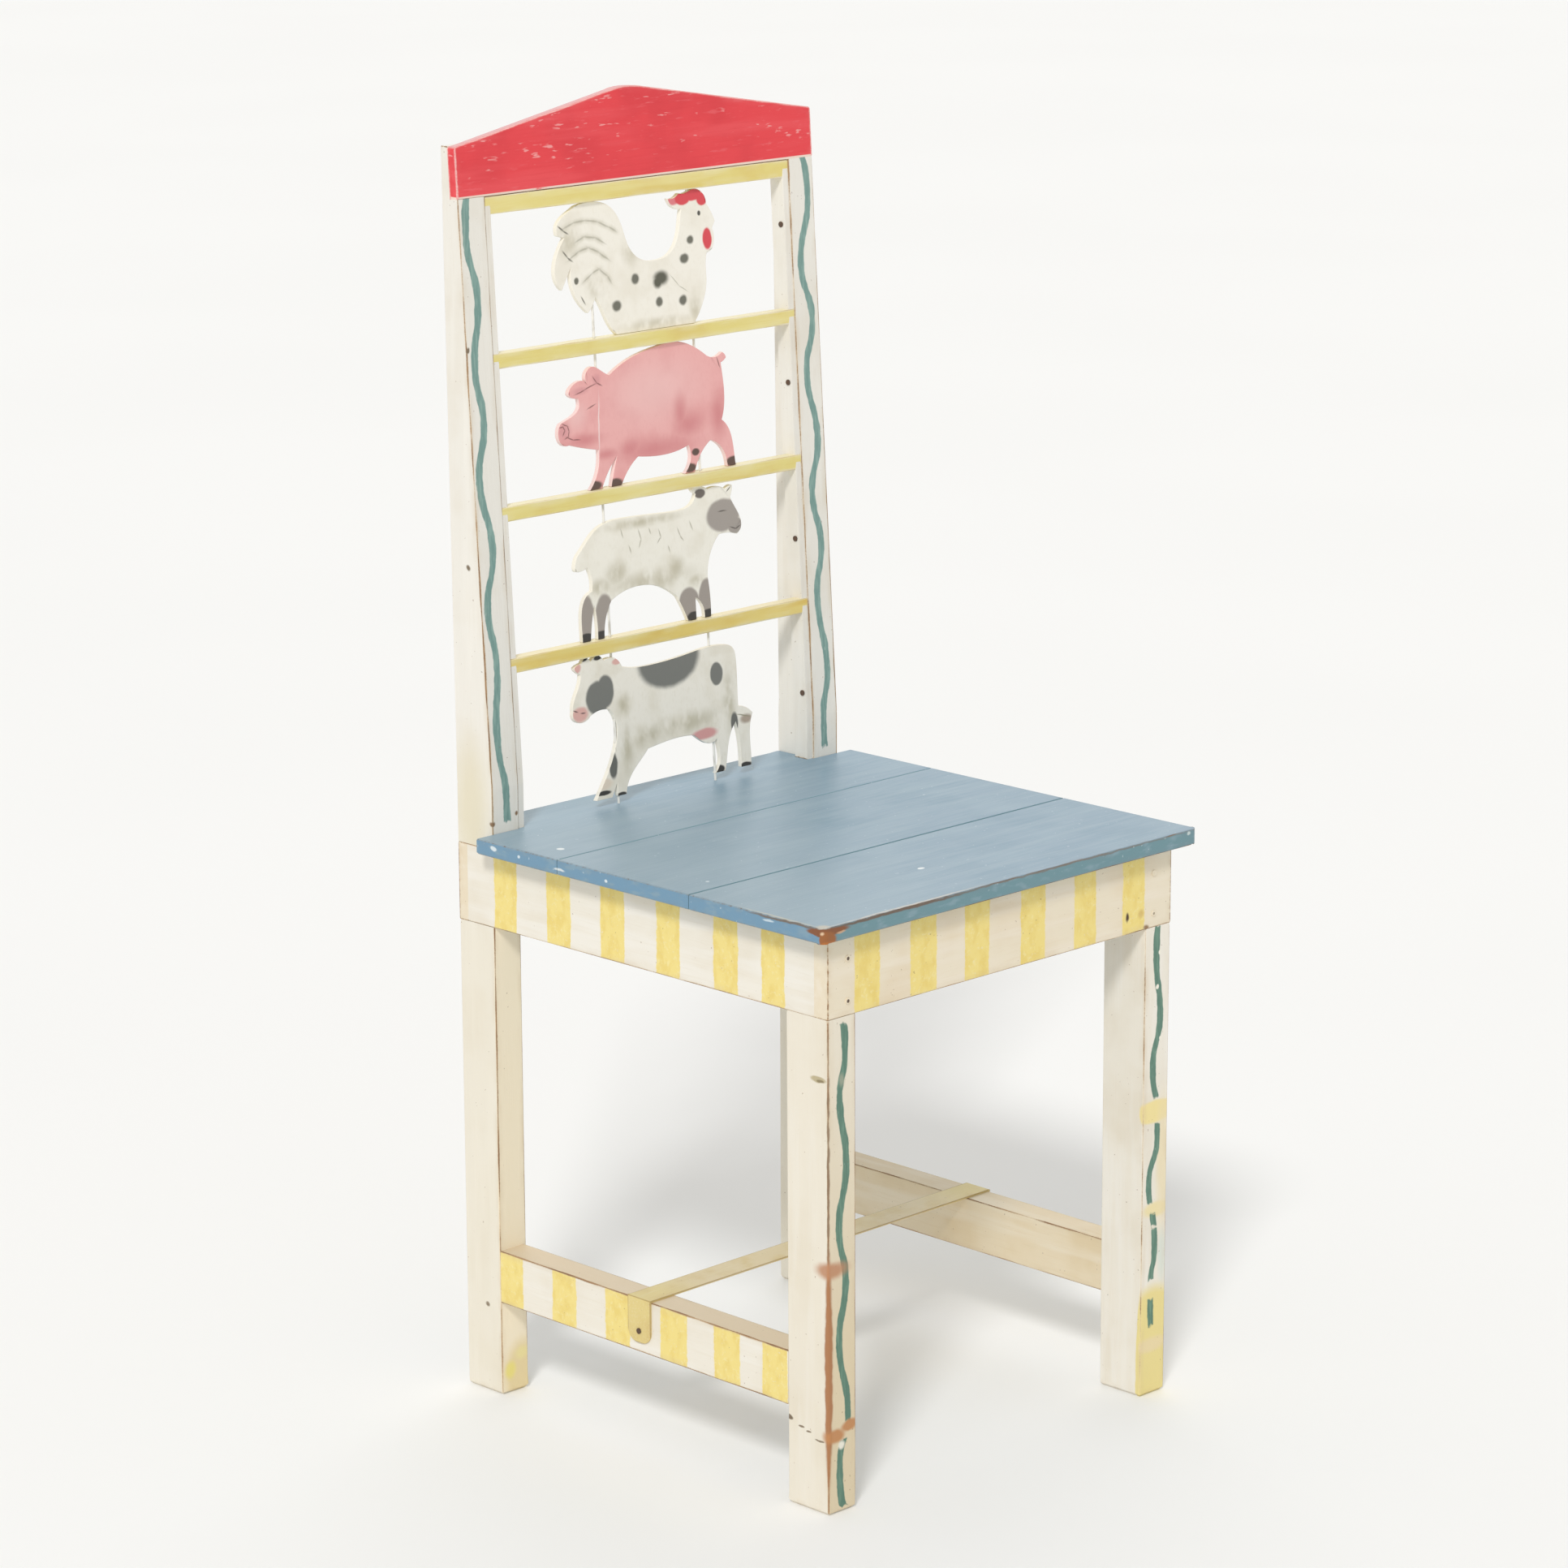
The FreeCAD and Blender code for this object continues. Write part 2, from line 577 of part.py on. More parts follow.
def make_figure(name, outline_shares, bay_bottom, bay_height, bores):
    """Make a flat cut-out that stands in a bay of the back and leans with it."""
    width = value(f"{name}_width")
    height = value(f"({bay_height} - figure_top_gap - figure_tilt_rise * 2) / cos(rake_angle)")
    thickness = value("figure_thickness")
    edges = []
    for run in outline_shares:
        points = [FreeCAD.Vector(across * width, 0, up * height) for across, up in run]
        if len(points) == 2:
            curve = Part.LineSegment(*points)
        else:
            curve = Part.BSplineCurve()
            curve.interpolate(points)
        edges.append(curve.toShape())
    face = Part.Face(Part.Wire(Part.sortEdges(edges)[0]))
    blank = doc.addObject("Part::Feature", f"{name}_figure_blank")
    blank.Shape = face.extrude(FreeCAD.Vector(0, thickness, 0))
    foot = f"{bay_bottom} + figure_tilt_rise"
    slope_rise = f"({foot} - rake_start) * rake_slope"
    corner = FreeCAD.Vector(
        value(f"{name}_shift - {name}_width / 2"),
        value(f"post_front_y + rod_setback + {slope_rise} - figure_thickness / 2 * cos(rake_angle)"),
        value(f"{foot} + figure_tilt_rise"),
    )
    blank.Placement = FreeCAD.Placement(corner, FreeCAD.Rotation(TOWARDS_BACK, value("rake_angle")))
    return add_cut(f"{name}_figure", blank, bores)


def make_stretcher(side, sign, nail_hole):
    """Make a side stretcher and the tenon bar that its mortises are cut with."""
    inset = "(stretcher_thickness - tenon_thickness) / 2"
    span = "post_front_y - leg_back_y"
    rail = add_box(f"{side}_stretcher_rail", "stretcher_thickness", span, "stretcher_height",
                   outer_place(sign, "stretcher_thickness"), "leg_back_y", "stretcher_bottom")
    tenon = add_box(f"{side}_stretcher_tenon", "tenon_thickness", f"{span} + tenon_length * 2", "tenon_height",
                    f"{outer_place(sign, 'stretcher_thickness')} + {inset}", "leg_back_y - tenon_length",
                    "stretcher_bottom + (stretcher_height - tenon_height) / 2")
    whole = doc.addObject("Part::Fuse", f"{side}_stretcher_blank")
    whole.Base = rail
    whole.Tool = tenon
    return add_cut(f"{side}_stretcher", whole, [nail_hole]), tenon


def make_strap(nail_holes):
    """Make the metal strap with both ends bent down over the stretchers."""
    body = add_body("stretcher_strap_blank")
    corners = [
        ("-strap_end_x", "strap_tab_end"),
        ("-strap_end_x", "strap_top"),
        ("strap_end_x", "strap_top"),
        ("strap_end_x", "strap_tab_end"),
        ("side_x", "strap_tab_end"),
        ("side_x", "stretcher_top"),
        ("-side_x", "stretcher_top"),
        ("-side_x", "strap_tab_end"),
    ]
    add_polygon_pad(body, "XZ_Plane", corners, "strap_width", backwards=True)
    end_x = value("strap_end_x")
    top_z = value("strap_top")
    tab_z = value("strap_tab_end")
    width = value("strap_width")

    def outer_bend(edge):
        return edge_at(edge, x=end_x, z=top_z) or edge_at(edge, x=-end_x, z=top_z)

    def tab_corner(edge):
        return edge_at(edge, y=0, z=tab_z) or edge_at(edge, y=width, z=tab_z)

    add_edge_feature(body, "Fillet", "Radius", "strap_bend_radius", outer_bend)
    add_edge_feature(body, "Fillet", "Radius", "strap_tab_radius", tab_corner)
    bind(body, y="strap_y - strap_width / 2")
    return add_cut("stretcher_strap", body, nail_holes)


def make_chair():
    """Make every piece of the chair and return those that are kept."""
    apron_nails = make_apron_nails()
    stile_nails = make_stile_nails()
    strap_nails = make_strap_nails()
    slat_blanks = make_slat_blanks()
    rods = [
        make_rod("left_figure_rod", "rod_diameter / 2", "-left_rod_offset"),
        make_rod("right_figure_rod", "rod_diameter / 2", "right_rod_offset"),
    ]
    bores = [
        make_rod("left_rod_bore", "rod_diameter / 2 + rod_clearance", "-left_rod_offset"),
        make_rod("right_rod_bore", "rod_diameter / 2 + rod_clearance", "right_rod_offset"),
    ]

    front_apron_blank = add_box("front_apron_blank", "frame_width", "front_apron_thickness", "apron_height",
                                "-side_x", "front_y", "apron_bottom")
    back_apron = add_box("back_apron", "frame_width", "back_apron_thickness", "apron_height",
                         "-side_x", "back_apron_front_y", "apron_bottom")
    apron_holes = [hole for side in SIDES for nail, hole in apron_nails[side]]
    front_apron = add_cut("front_apron", front_apron_blank, apron_holes)
    middle_board = add_box("seat_middle_board", "seat_side_x * 2", "seat_middle_board_width", "seat_thickness",
                           "-seat_side_x", "middle_board_y", "seat_underside")
    pieces = [front_apron, back_apron, make_seat_front_board(), middle_board, make_seat_back_board(bores),
              make_crest(), *rods]

    for side, sign in SIDES.items():
        stretcher, tenon = make_stretcher(side, sign, strap_nails[side][1])
        apron = add_box(f"{side}_apron", "side_apron_thickness", "back_apron_front_y - front_apron_back_y",
                        "apron_height", outer_place(sign, "side_apron_thickness"), "front_apron_back_y",
                        "apron_bottom")
        leg_holes = [hole for nail, hole in apron_nails[side]]
        stile_holes = [hole for nail, hole in stile_nails[side]]
        pieces += [
            stretcher,
            apron,
            make_leg(side, sign, [front_apron_blank, apron, tenon, *leg_holes]),
            make_post(side, sign, [back_apron, apron, tenon, *stile_holes]),
            make_stile(side, sign, [*slat_blanks, *stile_holes]),
        ]

    for number, blank in enumerate(slat_blanks, start=1):
        pieces.append(add_cut(f"slat_{number}", blank, bores))

    bay_height = "slat_pitch - slat_height"
    bay_bottoms = [f"first_slat_bottom + slat_pitch * {level} + slat_height" for level in (2, 1, 0)]
    pieces.append(make_figure("rooster", ROOSTER_OUTLINE_SHARES, bay_bottoms[0], bay_height, bores))
    pieces.append(make_figure("pig", PIG_OUTLINE_SHARES, bay_bottoms[1], bay_height, bores))
    pieces.append(make_figure("sheep", SHEEP_OUTLINE_SHARES, bay_bottoms[2], bay_height, bores))
    pieces.append(make_figure("cow", COW_OUTLINE_SHARES, "seat_height + cow_lift", "slat_first_rise - cow_lift", bores))

    pieces.append(make_strap([strap_nails[side][1] for side in SIDES]))
    pieces.append(add_group("apron_nails", [nail for side in SIDES for nail, hole in apron_nails[side]]))
    pieces.append(add_group("stile_nails", [nail for side in SIDES for nail, hole in stile_nails[side]]))
    pieces.append(add_group("strap_nails", [strap_nails[side][0] for side in SIDES]))
    return pieces


def check_and_write(pieces):
    """Stop at any failed object, then write one file for each piece."""
    doc.recompute()
    failed = [item.Name for item in doc.Objects if "Invalid" in item.State or "Error" in item.State]
    if failed:
        raise RuntimeError(f"failed objects: {failed}")
    for piece in pieces:
        if piece.Shape.isNull() or not piece.Shape.isValid():
            raise RuntimeError(f"bad shape: {piece.Label}")
    os.makedirs("parts", exist_ok=True)
    for piece in pieces:
        piece.Shape.exportStep(f"parts/{piece.Label}.step")
        print(f"{piece.Label}: {len(piece.Shape.Solids)} solids, {piece.Shape.Volume:.0f} mm3")


check_and_write(make_chair())
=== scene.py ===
"""Folk art chair: painted finishes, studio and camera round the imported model."""

import logging
import math
from dataclasses import dataclass, replace
from enum import Enum
from typing import Union

import bpy
from mathutils import Matrix, Vector

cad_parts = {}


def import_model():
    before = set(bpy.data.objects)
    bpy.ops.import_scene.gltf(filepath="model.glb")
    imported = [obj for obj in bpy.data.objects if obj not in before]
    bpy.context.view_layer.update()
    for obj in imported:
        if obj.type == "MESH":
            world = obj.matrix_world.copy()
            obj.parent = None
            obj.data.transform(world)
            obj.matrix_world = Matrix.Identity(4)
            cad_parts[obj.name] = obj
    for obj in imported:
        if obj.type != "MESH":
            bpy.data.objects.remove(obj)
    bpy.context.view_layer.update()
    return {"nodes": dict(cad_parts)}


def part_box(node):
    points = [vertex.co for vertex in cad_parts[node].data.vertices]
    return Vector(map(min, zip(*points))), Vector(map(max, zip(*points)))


LOG = logging.getLogger("folk_chair")
Socket = bpy.types.NodeSocket
Value = Union[Socket, float, tuple, str]
MM = 1000.0  # mm in a metre
THROUGH = 1000.0  # a reach in mm that takes a painted mark through a whole board
BACK_LEAN = 0.0594  # how far the front of the back leans for each mm of height


def linear(code: str) -> tuple[float, float, float, float]:
    """Turn an sRGB hex colour into linear light.

    Args:
        code: The colour as "#RRGGBB".

    Returns:
        Red, green, blue and full alpha.
    """
    parts = [int(code[i:i + 2], 16) / 255 for i in (1, 3, 5)]
    return (*[p / 12.92 if p <= 0.04045 else ((p + 0.055) / 1.055) ** 2.4 for p in parts], 1.0)


class Run(Enum):
    """The way a board's grain and its brush strokes run."""

    ACROSS = 0
    DEEP = 1
    UP = 2

    def stretch(self, width: float, length: float) -> tuple[float, float, float]:
        """Give a pattern's size in mm on each axis, long in this direction."""
        return tuple(length if i == self.value else width for i in range(3))


class Tree:
    """A node tree while it is drawn up."""

    def __init__(self, tree: bpy.types.NodeTree) -> None:
        """Start from an empty tree."""
        self.tree = tree
        self.tree.nodes.clear()

    def add(self, kind: str, inputs: Union[dict, None] = None, out: Union[int, str] = 0,
            **settings: Union[str, bool]) -> Union[Socket, None]:
        """Add a node with its settings and links.

        Args:
            kind: Blender's name of the node.
            inputs: What goes into each input: a socket to link, a hex colour or a plain value.
            out: The output to hand back.
            **settings: The node's own settings.

        Returns:
            That output, or None for a node with none.
        """
        node = self.tree.nodes.new(kind)
        for name, value in settings.items():
            setattr(node, name, value)
        for key, value in (inputs or {}).items():
            if isinstance(value, Socket):
                self.tree.links.new(value, node.inputs[key])
            else:
                colour = isinstance(value, str) and value.startswith("#")
                node.inputs[key].default_value = linear(value) if colour else value
        return node.outputs[out] if len(node.outputs) else None


class Graph(Tree):
    """The node tree of one material, in mm of the chair's own frame."""

    def __init__(self, name: str) -> None:
        """Start an empty material with the place in mm and the face's direction ready to use.

        Args:
            name: The material's name.
        """
        self.material = bpy.data.materials.new(name)
        self.material.use_nodes = True
        super().__init__(self.material.node_tree)
        place = self.add("ShaderNodeTexCoord", out="Object")
        self.mm = self.add("ShaderNodeVectorMath", {0: place, "Scale": MM}, operation="SCALE")
        self.axes = self.add("ShaderNodeSeparateXYZ", {0: self.mm}).node.outputs
        normal = self.add("ShaderNodeNewGeometry", out="True Normal")
        self.facing = self.add("ShaderNodeSeparateXYZ", {0: normal}).node.outputs

    def cloud(self, size: Union[float, tuple], detail: float = 2.0) -> Socket:
        """Draw soft noise whose cells have a real size.

        Args:
            size: The cell size in mm, one for all axes or one each.
            detail: How many finer octaves it has.

        Returns:
            A value about 0.5.
        """
        sizes = size if isinstance(size, tuple) else (size, size, size)
        scaled = self.add("ShaderNodeVectorMath", {0: self.mm, 1: tuple(1 / s for s in sizes)},
                          operation="MULTIPLY")
        return self.add("ShaderNodeTexNoise", {"Vector": scaled, "Scale": 1.0, "Detail": detail})

    def adrift(self, wander: float, size: float = 11.0) -> Socket:
        """Shift the place about by noise, so that painted outlines waver.

        Args:
            wander: How far it is shifted at most, in mm.
            size: How long each waver is, in mm.

        Returns:
            The shifted place in mm.
        """
        noise = self.add("ShaderNodeTexNoise",
                         {"Vector": self.mm, "Scale": 1 / size, "Detail": 3.0}, out="Color")
        shift = self.add("ShaderNodeVectorMath",
                         {0: noise, 1: (wander * 2,) * 3, 2: (-wander,) * 3},
                         operation="MULTIPLY_ADD")
        return self.add("ShaderNodeVectorMath", {0: self.mm, 1: shift}, operation="ADD")

    def cover(self, value: Value, start: float, end: float, most: Value = 1.0,
              *only: Value) -> Socket:
        """Turn a value softly into how far a coat covers, kept to where some masks are 1.

        Args:
            value: The value.
            start: Where the cover begins.
            end: Where it is full.
            most: The full cover.
            *only: The masks that it is kept to.

        Returns:
            The cover.
        """
        limits = {0: value, 1: start, 2: end, 4: most}
        soft = self.add("ShaderNodeMapRange", limits, interpolation_type="SMOOTHSTEP")
        return self.reckon(soft, *[("MULTIPLY", mask) for mask in only])

    def reckon(self, start: Value, *steps: tuple) -> Socket:
        """Work through sums in order, such as ("MULTIPLY", 2.0).

        Args:
            start: The first value.
            *steps: The name of each sum and its other values.

        Returns:
            The last result.
        """
        value = start
        for name, *others in steps:
            value = self.add("ShaderNodeMath", dict(enumerate((value, *others))), operation=name)
        return value

    def coats(self, base: Value, layers: list) -> Socket:
        """Lay colours over each other.

        Args:
            base: The lowest colour.
            layers: A colour and how much of it covers, for each coat.

        Returns:
            The colour on top.
        """
        for colour, cover in layers:
            base = self.add("ShaderNodeMix", {0: cover, 6: base, 7: colour}, out=2,
                            data_type="RGBA")
        return base

    def second_least(self, values: list) -> Socket:
        """Find the second least of some distances: on a face, the distance to its nearest edge.

        Args:
            values: The distances, two or more.

        Returns:
            The second least.
        """
        least = self.reckon(values[0], ("MINIMUM", values[1]))
        second = self.reckon(values[0], ("MAXIMUM", values[1]))
        for value in values[2:]:
            second = self.reckon(least, ("MAXIMUM", value), ("MINIMUM", second))
            least = self.reckon(least, ("MINIMUM", value))
        return second

    def within(self, value: Value, low: float, high: float, soft: float = 0.5) -> Socket:
        """Mark where a value lies between two limits.

        Args:
            value: The value in mm.
            low: The lower limit.
            high: The upper limit.
            soft: How far each limit fades.

        Returns:
            1 between the limits and 0 outside.
        """
        half = (high - low) / 2
        away = self.reckon(value, ("SUBTRACT", low + half), ("ABSOLUTE",))
        return self.cover(away, half + soft, half - soft)

    def either(self, masks: list) -> Socket:
        """Join masks into one that is 1 where any of them is."""
        return self.reckon(0.0, *[("MAXIMUM", mask) for mask in masks])

    def surface(self, colour: Value, roughness: Value, height: Value,
                **sockets: float) -> bpy.types.Material:
        """Close the material with its shader.

        Args:
            colour: The base colour.
            roughness: The roughness.
            height: The relief in mm.
            **sockets: Plain numbers for the shader's other sockets.

        Returns:
            The finished material.
        """
        relief = self.add("ShaderNodeBump", {"Height": height, "Distance": 1 / MM, "Strength": 1.0})
        inputs = {"Base Color": colour, "Roughness": roughness, "Normal": relief}
        inputs.update({name.replace("_", " "): value for name, value in sockets.items()})
        shader = self.add("ShaderNodeBsdfPrincipled", inputs)
        self.add("ShaderNodeOutputMaterial", {"Surface": shader})
        return self.material


@dataclass(frozen=True)
class Box:
    """A node's box at rest, in mm."""

    low: Vector
    high: Vector

    @classmethod
    def of(cls, node: str) -> "Box":
        """Read a node's box from the frame."""
        low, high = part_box(node)
        return cls(Vector(low) * MM, Vector(high) * MM)

    def inwards(self, graph: Graph, faces: str = "xXyYzZ") -> list:
        """Draw the distance in mm inwards from some faces.

        Args:
            graph: The material that is drawn up.
            faces: The low faces as x, y and z, the high ones as X, Y and Z.

        Returns:
            One distance for each face.
        """
        found = []
        for face in faces:
            axis = "xyz".index(face.lower())
            if face.islower():
                found.append(graph.reckon(graph.axes[axis], ("SUBTRACT", self.low[axis])))
            else:
                found.append(graph.reckon(self.high[axis], ("SUBTRACT", graph.axes[axis])))
        return found


@dataclass(frozen=True)
class Blot:
    """A soft-rimmed spot of paint, stain or bare wood, with its middle and reach in mm."""

    middle: tuple
    reach: tuple
    colour: str
    rim: float = 0.3
    cover: float = 1.0
    turn: float = 0.0

    def mask(self, graph: Graph, place: Socket) -> Socket:
        """Mark where the spot covers.

        Args:
            graph: The material that is drawn up.
            place: The place to read, in mm.

        Returns:
            Its cover.
        """
        spot = graph.add("ShaderNodeMapping", {
            "Vector": place, "Location": self.middle,
            "Rotation": (0.0, -math.radians(self.turn), 0.0), "Scale": self.reach},
                         vector_type="TEXTURE")
        away = graph.add("ShaderNodeVectorMath", {0: spot}, out="Value", operation="LENGTH")
        return graph.cover(away, 1 + self.rim / 2, 1 - self.rim, self.cover)


def spotted(graph: Graph, blots: tuple, wander: float) -> list:
    """Lay spots of paint or stain with wavering outlines.

    Args:
        graph: The material that is drawn up.
        blots: The spots, the lowest first.
        wander: How far their outlines waver, in mm.

    Returns:
        One coat for each spot.
    """
    place = graph.adrift(wander) if blots else None
    return [(blot.colour, blot.mask(graph, place)) for blot in blots]


@dataclass(frozen=True)
class BrushedPaint:
    """Household paint brushed on softwood: faint strokes, soft dirt and a worn line on the arrises.

    Patterns have their width and length in mm. Bristle marks and the grain of bared wood are about
    0.3 mm wide on a real chair, too fine to show, and are drawn as coarse as they need to be.
    """

    name: str
    paint: str
    shade: str
    light: str
    roughness: float = 0.5
    specular: float = 0.4
    wear: float = 0.55
    wear_spread: float = 2.2
    grime: float = 0.3
    specks: float = 0.45
    dirt: str = "#CDB795"
    bare_light: str = "#B08D67"
    bare_dark: str = "#86654A"
    bare_roughness: float = 0.75
    bare_depth: float = 0.12
    stroke: tuple = (1.6, 40.0)
    stroke_relief: float = 0.08
    lap: tuple = (13.0, 120.0)
    lap_relief: float = 0.3
    tooth: float = 1.3
    tooth_relief: float = 0.03
    mottle: float = 52.0
    soil: tuple = (8.0, 30.0)
    soil_reach: float = 7.0
    chip: tuple = (3.5, 34.0)
    grain: tuple = (0.8, 40.0)
    speck: float = 2.6
    wander: float = 1.6

    def make(self, graph: Graph, run: Run, distances: list, decor: list,
             blots: tuple = ()) -> bpy.types.Material:
        """Draw up the paint of one piece.

        Args:
            graph: The material that is drawn up.
            run: The way its grain runs.
            distances: Distances in mm inwards from the piece's faces.
            decor: Painted ornament, as coats over the paint.
            blots: Spots of other paint, stain and bare wood on top.

        Returns:
            The finished material.
        """
        strokes = graph.cloud(run.stretch(*self.stroke), 3.0)
        laps = graph.cloud(run.stretch(*self.lap))
        tooth = graph.cloud(self.tooth, 3.0)
        edge = graph.second_least(distances)
        ragged = graph.reckon(graph.cloud(run.stretch(*self.chip), 4.0), ("SUBTRACT", 0.5),
                              ("MULTIPLY", self.wear_spread))
        bite = graph.reckon(tooth, ("SUBTRACT", 0.5), ("MULTIPLY", 0.6), ("ADD", ragged),
                            ("ADD", edge))
        bared = graph.cover(bite, self.wear + 0.1, self.wear - 0.35)
        grain = graph.cloud(run.stretch(*self.grain))
        wood = graph.coats(self.bare_dark, [(self.bare_light, graph.cover(grain, 0.35, 0.65))])
        near = graph.cover(edge, self.soil_reach, 0.0, self.grime)
        colour = graph.coats(self.paint, [
            (self.shade, graph.cover(graph.cloud(self.mottle, 3.0), 0.42, 0.72, 0.7)),
            (self.light, graph.cover(laps, 0.45, 0.7, 0.7)),
            (self.shade, graph.cover(strokes, 0.5, 0.8, 0.3)),
            *decor,
            (self.dirt, graph.cover(graph.cloud(run.stretch(*self.soil), 3.0), 0.4, 0.7, near)),
            (self.bare_dark, graph.cover(graph.cloud(self.speck, 1.0), 0.76, 0.79, self.specks)),
            (self.dirt, graph.cover(bite, self.wear + 0.8, self.wear, 0.5)),
            (wood, bared),
            *spotted(graph, blots, self.wander)])
        gloss = graph.reckon(strokes, ("SUBTRACT", 0.5), ("MULTIPLY", 0.2), ("ADD", self.roughness))
        gloss = graph.add("ShaderNodeMapRange", {0: bared, 3: gloss, 4: self.bare_roughness})
        height = graph.reckon(laps, ("MULTIPLY", self.lap_relief))
        height = graph.reckon(strokes, ("MULTIPLY_ADD", self.stroke_relief, height))
        height = graph.reckon(tooth, ("MULTIPLY_ADD", self.tooth_relief, height))
        height = graph.reckon(bared, ("MULTIPLY_ADD", -self.bare_depth, height))
        return graph.surface(colour, gloss, height, Specular_IOR_Level=self.specular)


# Cream household paint on softwood: a satin skin with faint brush marks along the grain, tan dirt
# near the arrises and a thin brown line where they are rubbed to the wood.
CREAM = BrushedPaint("cream", "#ECE6D9", "#E3DAC8", "#F0ECE3")
# The cream where it is handled least, on posts and stiles: whiter and cooler.
PALE = replace(CREAM, paint="#ECE8DF", shade="#E4DDCF")
# The cream of the front and back aprons, yellowed towards peach.
PEACH = replace(CREAM, paint="#EADFC8", shade="#E3D2B5", light="#EEE4D2")
# Painted shade: the cream of the far stretcher, turned darker and a warm tan, for its place in the
# chair's shade.
SHADED_TAN_CREAM = replace(CREAM, paint="#E6D7BA", shade="#DBC7A1", light="#EBE0CA")
# Blue household paint on the seat: a milky bloom over a smoother, glossier skin, grey-brown where
# it is rubbed.
BLUE = BrushedPaint("blue", "#859FB1", "#7896A9", "#8FA7B6", roughness=0.36, specular=0.25,
                    wear_spread=1.8, grime=0.25, specks=0.15, dirt="#7E8A92", bare_light="#8D7A69",
                    bare_dark="#6E5B4C")
# Red household paint on the crest: a strong even colour, with a pink undercoat where its arrises
# are rubbed.
RED = BrushedPaint("red", "#E8434A", "#D93A42", "#EC5359", wear=1.0, wear_spread=1.6, grime=0.2,
                   specks=0.0, dirt="#EC8A8A", bare_light="#F3BDB8", bare_dark="#F0A09E")
# Yellow household paint on the slats: thin and blotchy, with the cream undercoat along its arrises.
YELLOW = BrushedPaint("yellow", "#E8D886", "#DFC46C", "#EFE3A0", wear=0.6, wear_spread=2.0,
                      grime=0.5, specks=0.2, dirt="#F0E6BC", bare_light="#F2EBD2",
                      bare_dark="#DCC58C")
# The yellow of the lowest slat, deeper and browner.
GOLD = replace(YELLOW, paint="#E8CE74", shade="#DCB95C", light="#ECD98A")

# A brown spill on a leg, and rails rubbed by shoes.
OCHRE, TAN = "#BF8553", "#E0CBAA"


@dataclass(frozen=True)
class StripePaint:
    """Thin yellow paint in upright bands over the cream: blotchy, ragged-sided and dry in spots.

    Each of waver and ragged is the length of a waver and how far it goes, in mm.
    """

    paint: str = "#F0DB84"
    deep: str = "#E9CF70"
    dry: str = "#F4E6A8"
    full: float = 0.96
    thinned: float = 0.45
    rim: float = 0.6
    waver: tuple = (16.0, 3.0)
    ragged: tuple = (2.4, 2.0)

    def coat(self, graph: Graph, axis: int, face: Socket, bands: tuple) -> tuple:
        """Paint stripes on one face.

        Args:
            graph: The material that is drawn up.
            axis: The axis along which the stripes follow each other.
            face: 1 on the painted face.
            bands: The lower and upper limit of each stripe in mm.

        Returns:
            The paint and its cover.
        """
        along = graph.axes[axis]
        for size, reach in (self.waver, self.ragged):
            along = graph.reckon(graph.cloud(size), ("SUBTRACT", 0.5),
                                 ("MULTIPLY_ADD", reach, along))
        banded = graph.either([graph.within(along, low, high, self.rim) for low, high in bands])
        blotchy = graph.coats(self.paint, [
            (self.deep, graph.cover(graph.cloud((9.0, 9.0, 14.0), 3.0), 0.42, 0.68, 0.8)),
            (self.dry, graph.cover(graph.cloud(3.2), 0.55, 0.75, 0.5))])
        thin = graph.cover(graph.cloud(2.0), 0.62, 0.8, -self.thinned)
        return blotchy, graph.reckon(thin, ("ADD", self.full), ("MULTIPLY", banded),
                                     ("MULTIPLY", face))


